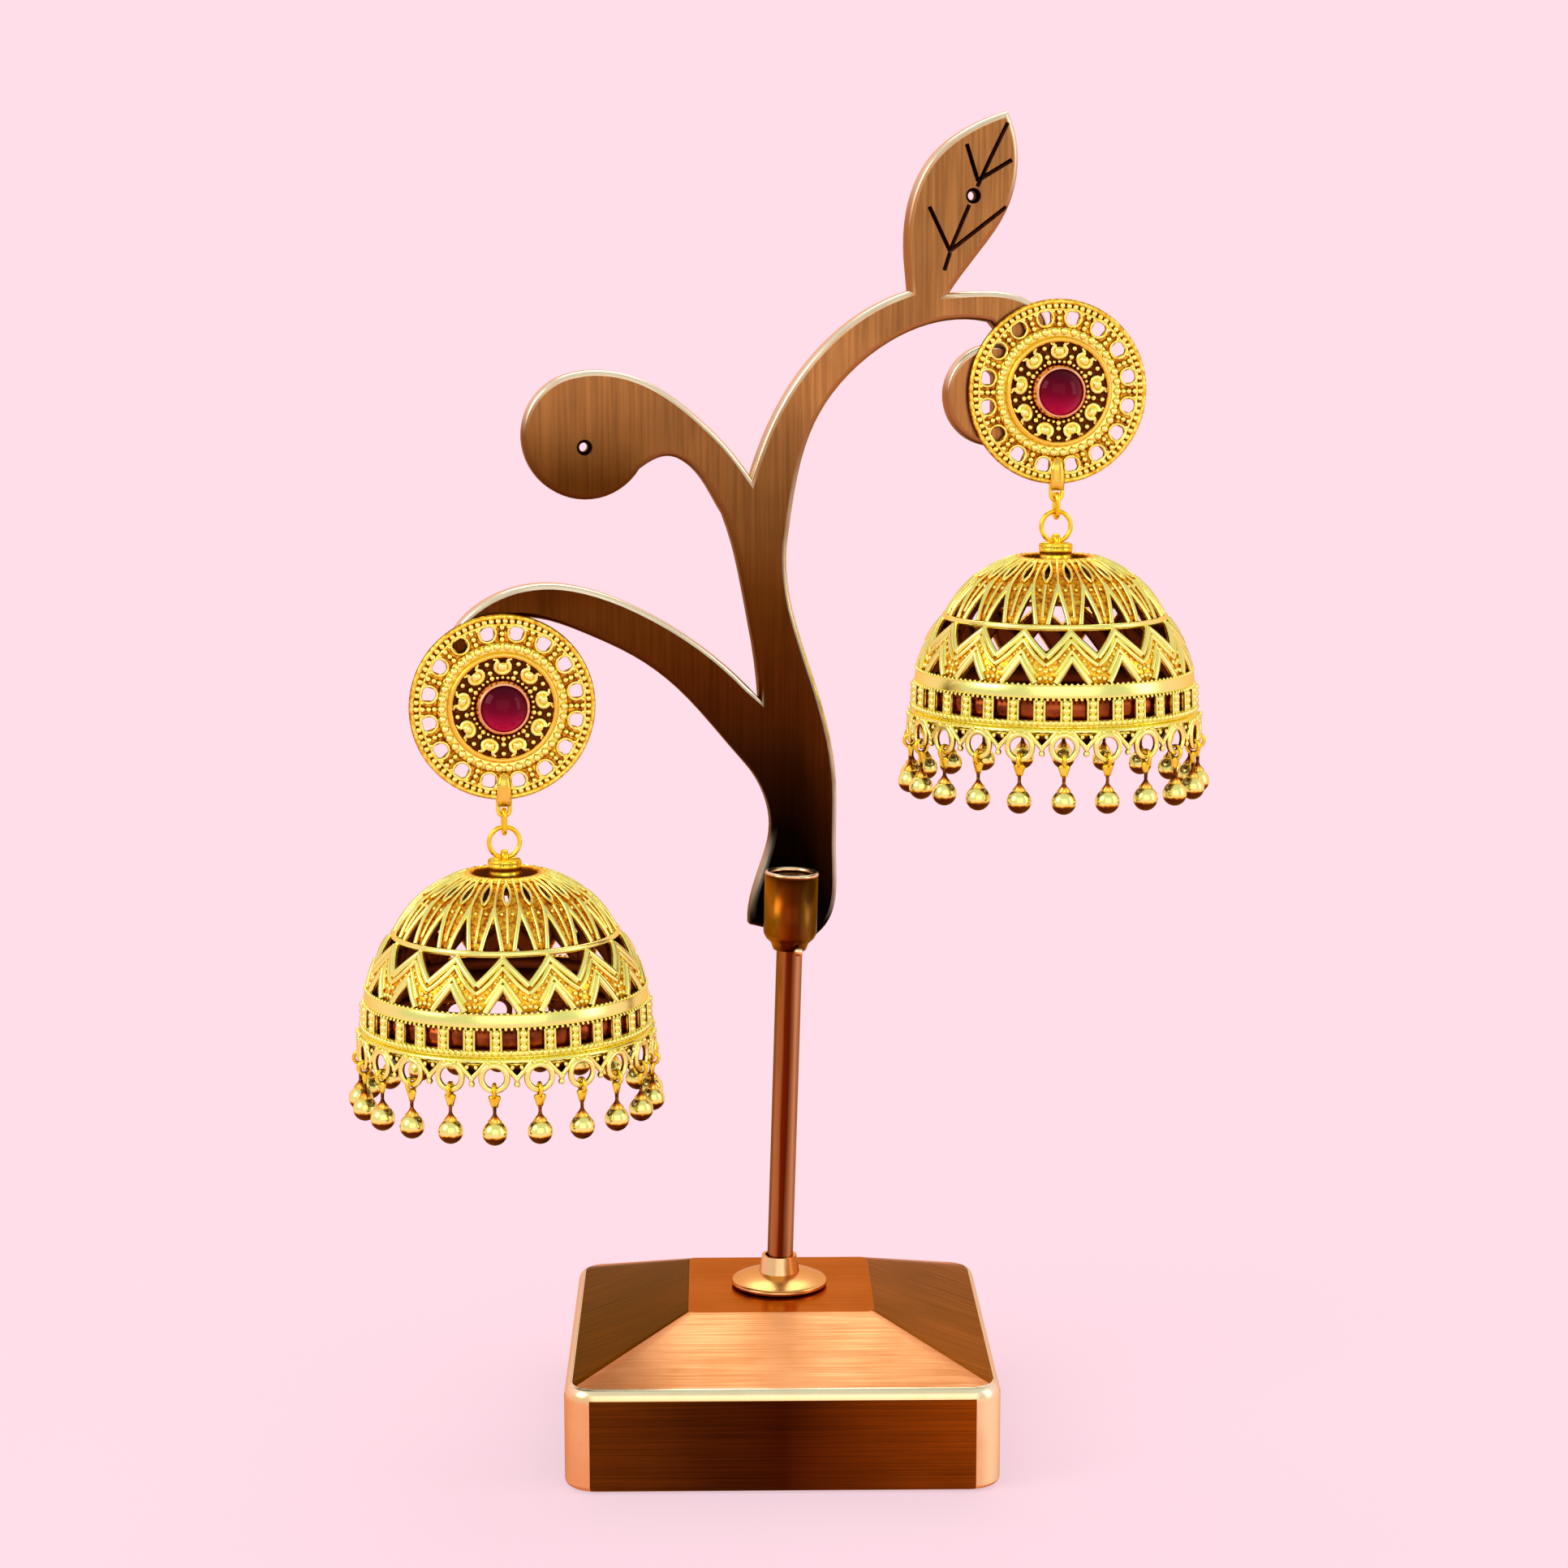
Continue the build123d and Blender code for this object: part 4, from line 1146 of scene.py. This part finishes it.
for side in ("left", "right"):
    seat = hanging_seat(side)
    stone_low, stone_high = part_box(f"{side}_stone")
    rise = ((stone_low + stone_high).z / 2 - seat.translation.z) / MM
    facing = Matrix(((1, 0, 0, 0), (0, 0, -1, 0), (0, 1, 0, rise), (0, 0, 0, 1)))
    link_top = (joints[f"{side}_link_sway"]["pos_m"][2] - seat.translation.z) / MM - rise
    solder(f"{side}_dome_work", f"{side}_drop", dome_parts, seat, f"{side}_dome", dome_relief)
    solder(f"{side}_small_drops", f"{side}_drop", drop_parts, seat, f"{side}_drops", drop_relief)
    stud_parts = [*pierced_ring(), *florets(), *stud_bands(), *stud_hanger(link_top)]
    stud_seat = seat @ Matrix.Scale(MM, 4) @ facing @ Matrix.Scale(1 / MM, 4)
    solder(f"{side}_stud_work", "root", stud_parts, stud_seat, f"{side}_stud", stud_relief)

tree_sheet()
square_base()


def dress(node, finish):
    """Gives a solid that stays as it is its finish."""
    materials = frame["nodes"][node].data.materials
    materials.clear()
    materials.append(finish)


# painted reflections on the post, and painted highlights and shade on the flange
dress("post", tube_copper)
dress("post_flange", flange_copper)
for side in ("left", "right"):
    low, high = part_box(f"{side}_stone")
    dress(f"{side}_stone", ruby_glass(low.z, high.z))
    dress(f"{side}_ring", bright_gold)
    dress(f"{side}_link", bright_gold)


# ======== floor, backdrop, light and camera
PALE_PINK = tone(255, 222, 233)
ROOM = 1.1  # metres from the middle to the backdrop
FLOOR_HEIGHT = -0.0002
FLOOR_SIDES = 96
LAMPS_AIM = Vector((0, 0, 0.09))
CAMERA_AIM = Vector((0.00056, 0, 0.0759))


def seen_directly(graph):
    """1 for what the camera, a reflection or a view through glass sees, and 0 for light on the object."""
    rays = graph.tree.nodes.new("ShaderNodeLightPath").outputs
    first, *others = (Reading(graph, rays[f"Is {kind} Ray"]) for kind in ("Camera", "Glossy", "Transmission"))
    for other in others:
        first = first.maths("MAXIMUM", other)
    return first


def paper_finish():
    """Pale pink paper, flat in colour but for the shade close to the base."""
    paper = Finish("pink_paper", Roughness=0.9, Base_Color=PALE_PINK, Specular_IOR_Level=0.0)
    glow = paper.node("ShaderNodeEmission", {"Color": PALE_PINK})
    away = paper.node("ShaderNodeVectorMath", {0: paper.place()}, 1, operation="LENGTH")
    flatness = 0.7 + paper.between(away, 0.03, 0.16) * 0.3
    shown = {0: seen_directly(paper) * flatness, 1: Reading(paper, paper.surface.outputs[0]), 2: glow}
    paper.plug(paper.tree.nodes["Material Output"].inputs[0], paper.node("ShaderNodeMixShader", shown))
    return paper.material


def stage_sheet(name, points, faces, finish):
    mesh = plain_mesh(name, points, faces=faces)
    mesh.materials.append(finish)
    piece = placed(name, mesh)


def lay_the_paper():
    """A round floor, and a backdrop that stands round its back half."""
    finish = paper_finish()
    rim = [(ROOM * math.cos(a), ROOM * math.sin(a)) for a in turns(FLOOR_SIDES)]
    stage_sheet("floor", [(x, y, FLOOR_HEIGHT) for x, y in rim], [list(range(FLOOR_SIDES))], finish)
    back = rim[: FLOOR_SIDES // 2 + 1]
    wide = len(back)
    faces = [[i, i + 1, wide + i + 1, wide + i] for i in range(wide - 1)]
    stage_sheet("backdrop", [(x, y, z) for z in (FLOOR_HEIGHT, ROOM) for x, y in back], faces, finish)


def aimed(piece, place, aim):
    """Sets a lamp or the camera at its place, and turns it to its aim."""
    piece.location = place
    piece.rotation_euler = (aim - Vector(place)).to_track_quat("-Z", "Y").to_euler()


def lamp(name, place, size, power):
    """A softbox turned to the middle of the stand."""
    light = bpy.data.lights.new(name, "AREA")
    light.shape = "RECTANGLE"
    light.size, light.size_y = size
    light.energy = power
    aimed(placed(name, light), place, LAMPS_AIM)


def light_the_room():
    world = bpy.data.worlds.new("studio")
    bpy.context.scene.world = world
    world.use_nodes = True
    world.node_tree.nodes["Background"].inputs["Color"].default_value = (0.7, 0.7, 0.68, 1)
    lamp("front_box", (0.1, -0.95, 0.4), (1.0, 0.7), 1.6)
    lamp("left_box", (-0.7, -0.35, 0.55), (0.4, 0.5), 2.2)
    lamp("right_box", (0.75, -0.2, 0.3), (0.25, 0.6), 0.9)
    lamp("top_box", (0.0, 0.45, 0.75), (0.6, 0.4), 1.6)


lay_the_paper()
light_the_room()

camera = placed("camera", bpy.data.cameras.new("camera"))
bpy.context.scene.camera = camera
aimed(camera, (-0.0069, -0.390, 0.139), CAMERA_AIM)
camera.data.sensor_width = 36
camera.data.lens = 79.06
camera.data.clip_start = 0.01
bpy.context.scene.view_settings.view_transform = "Standard"
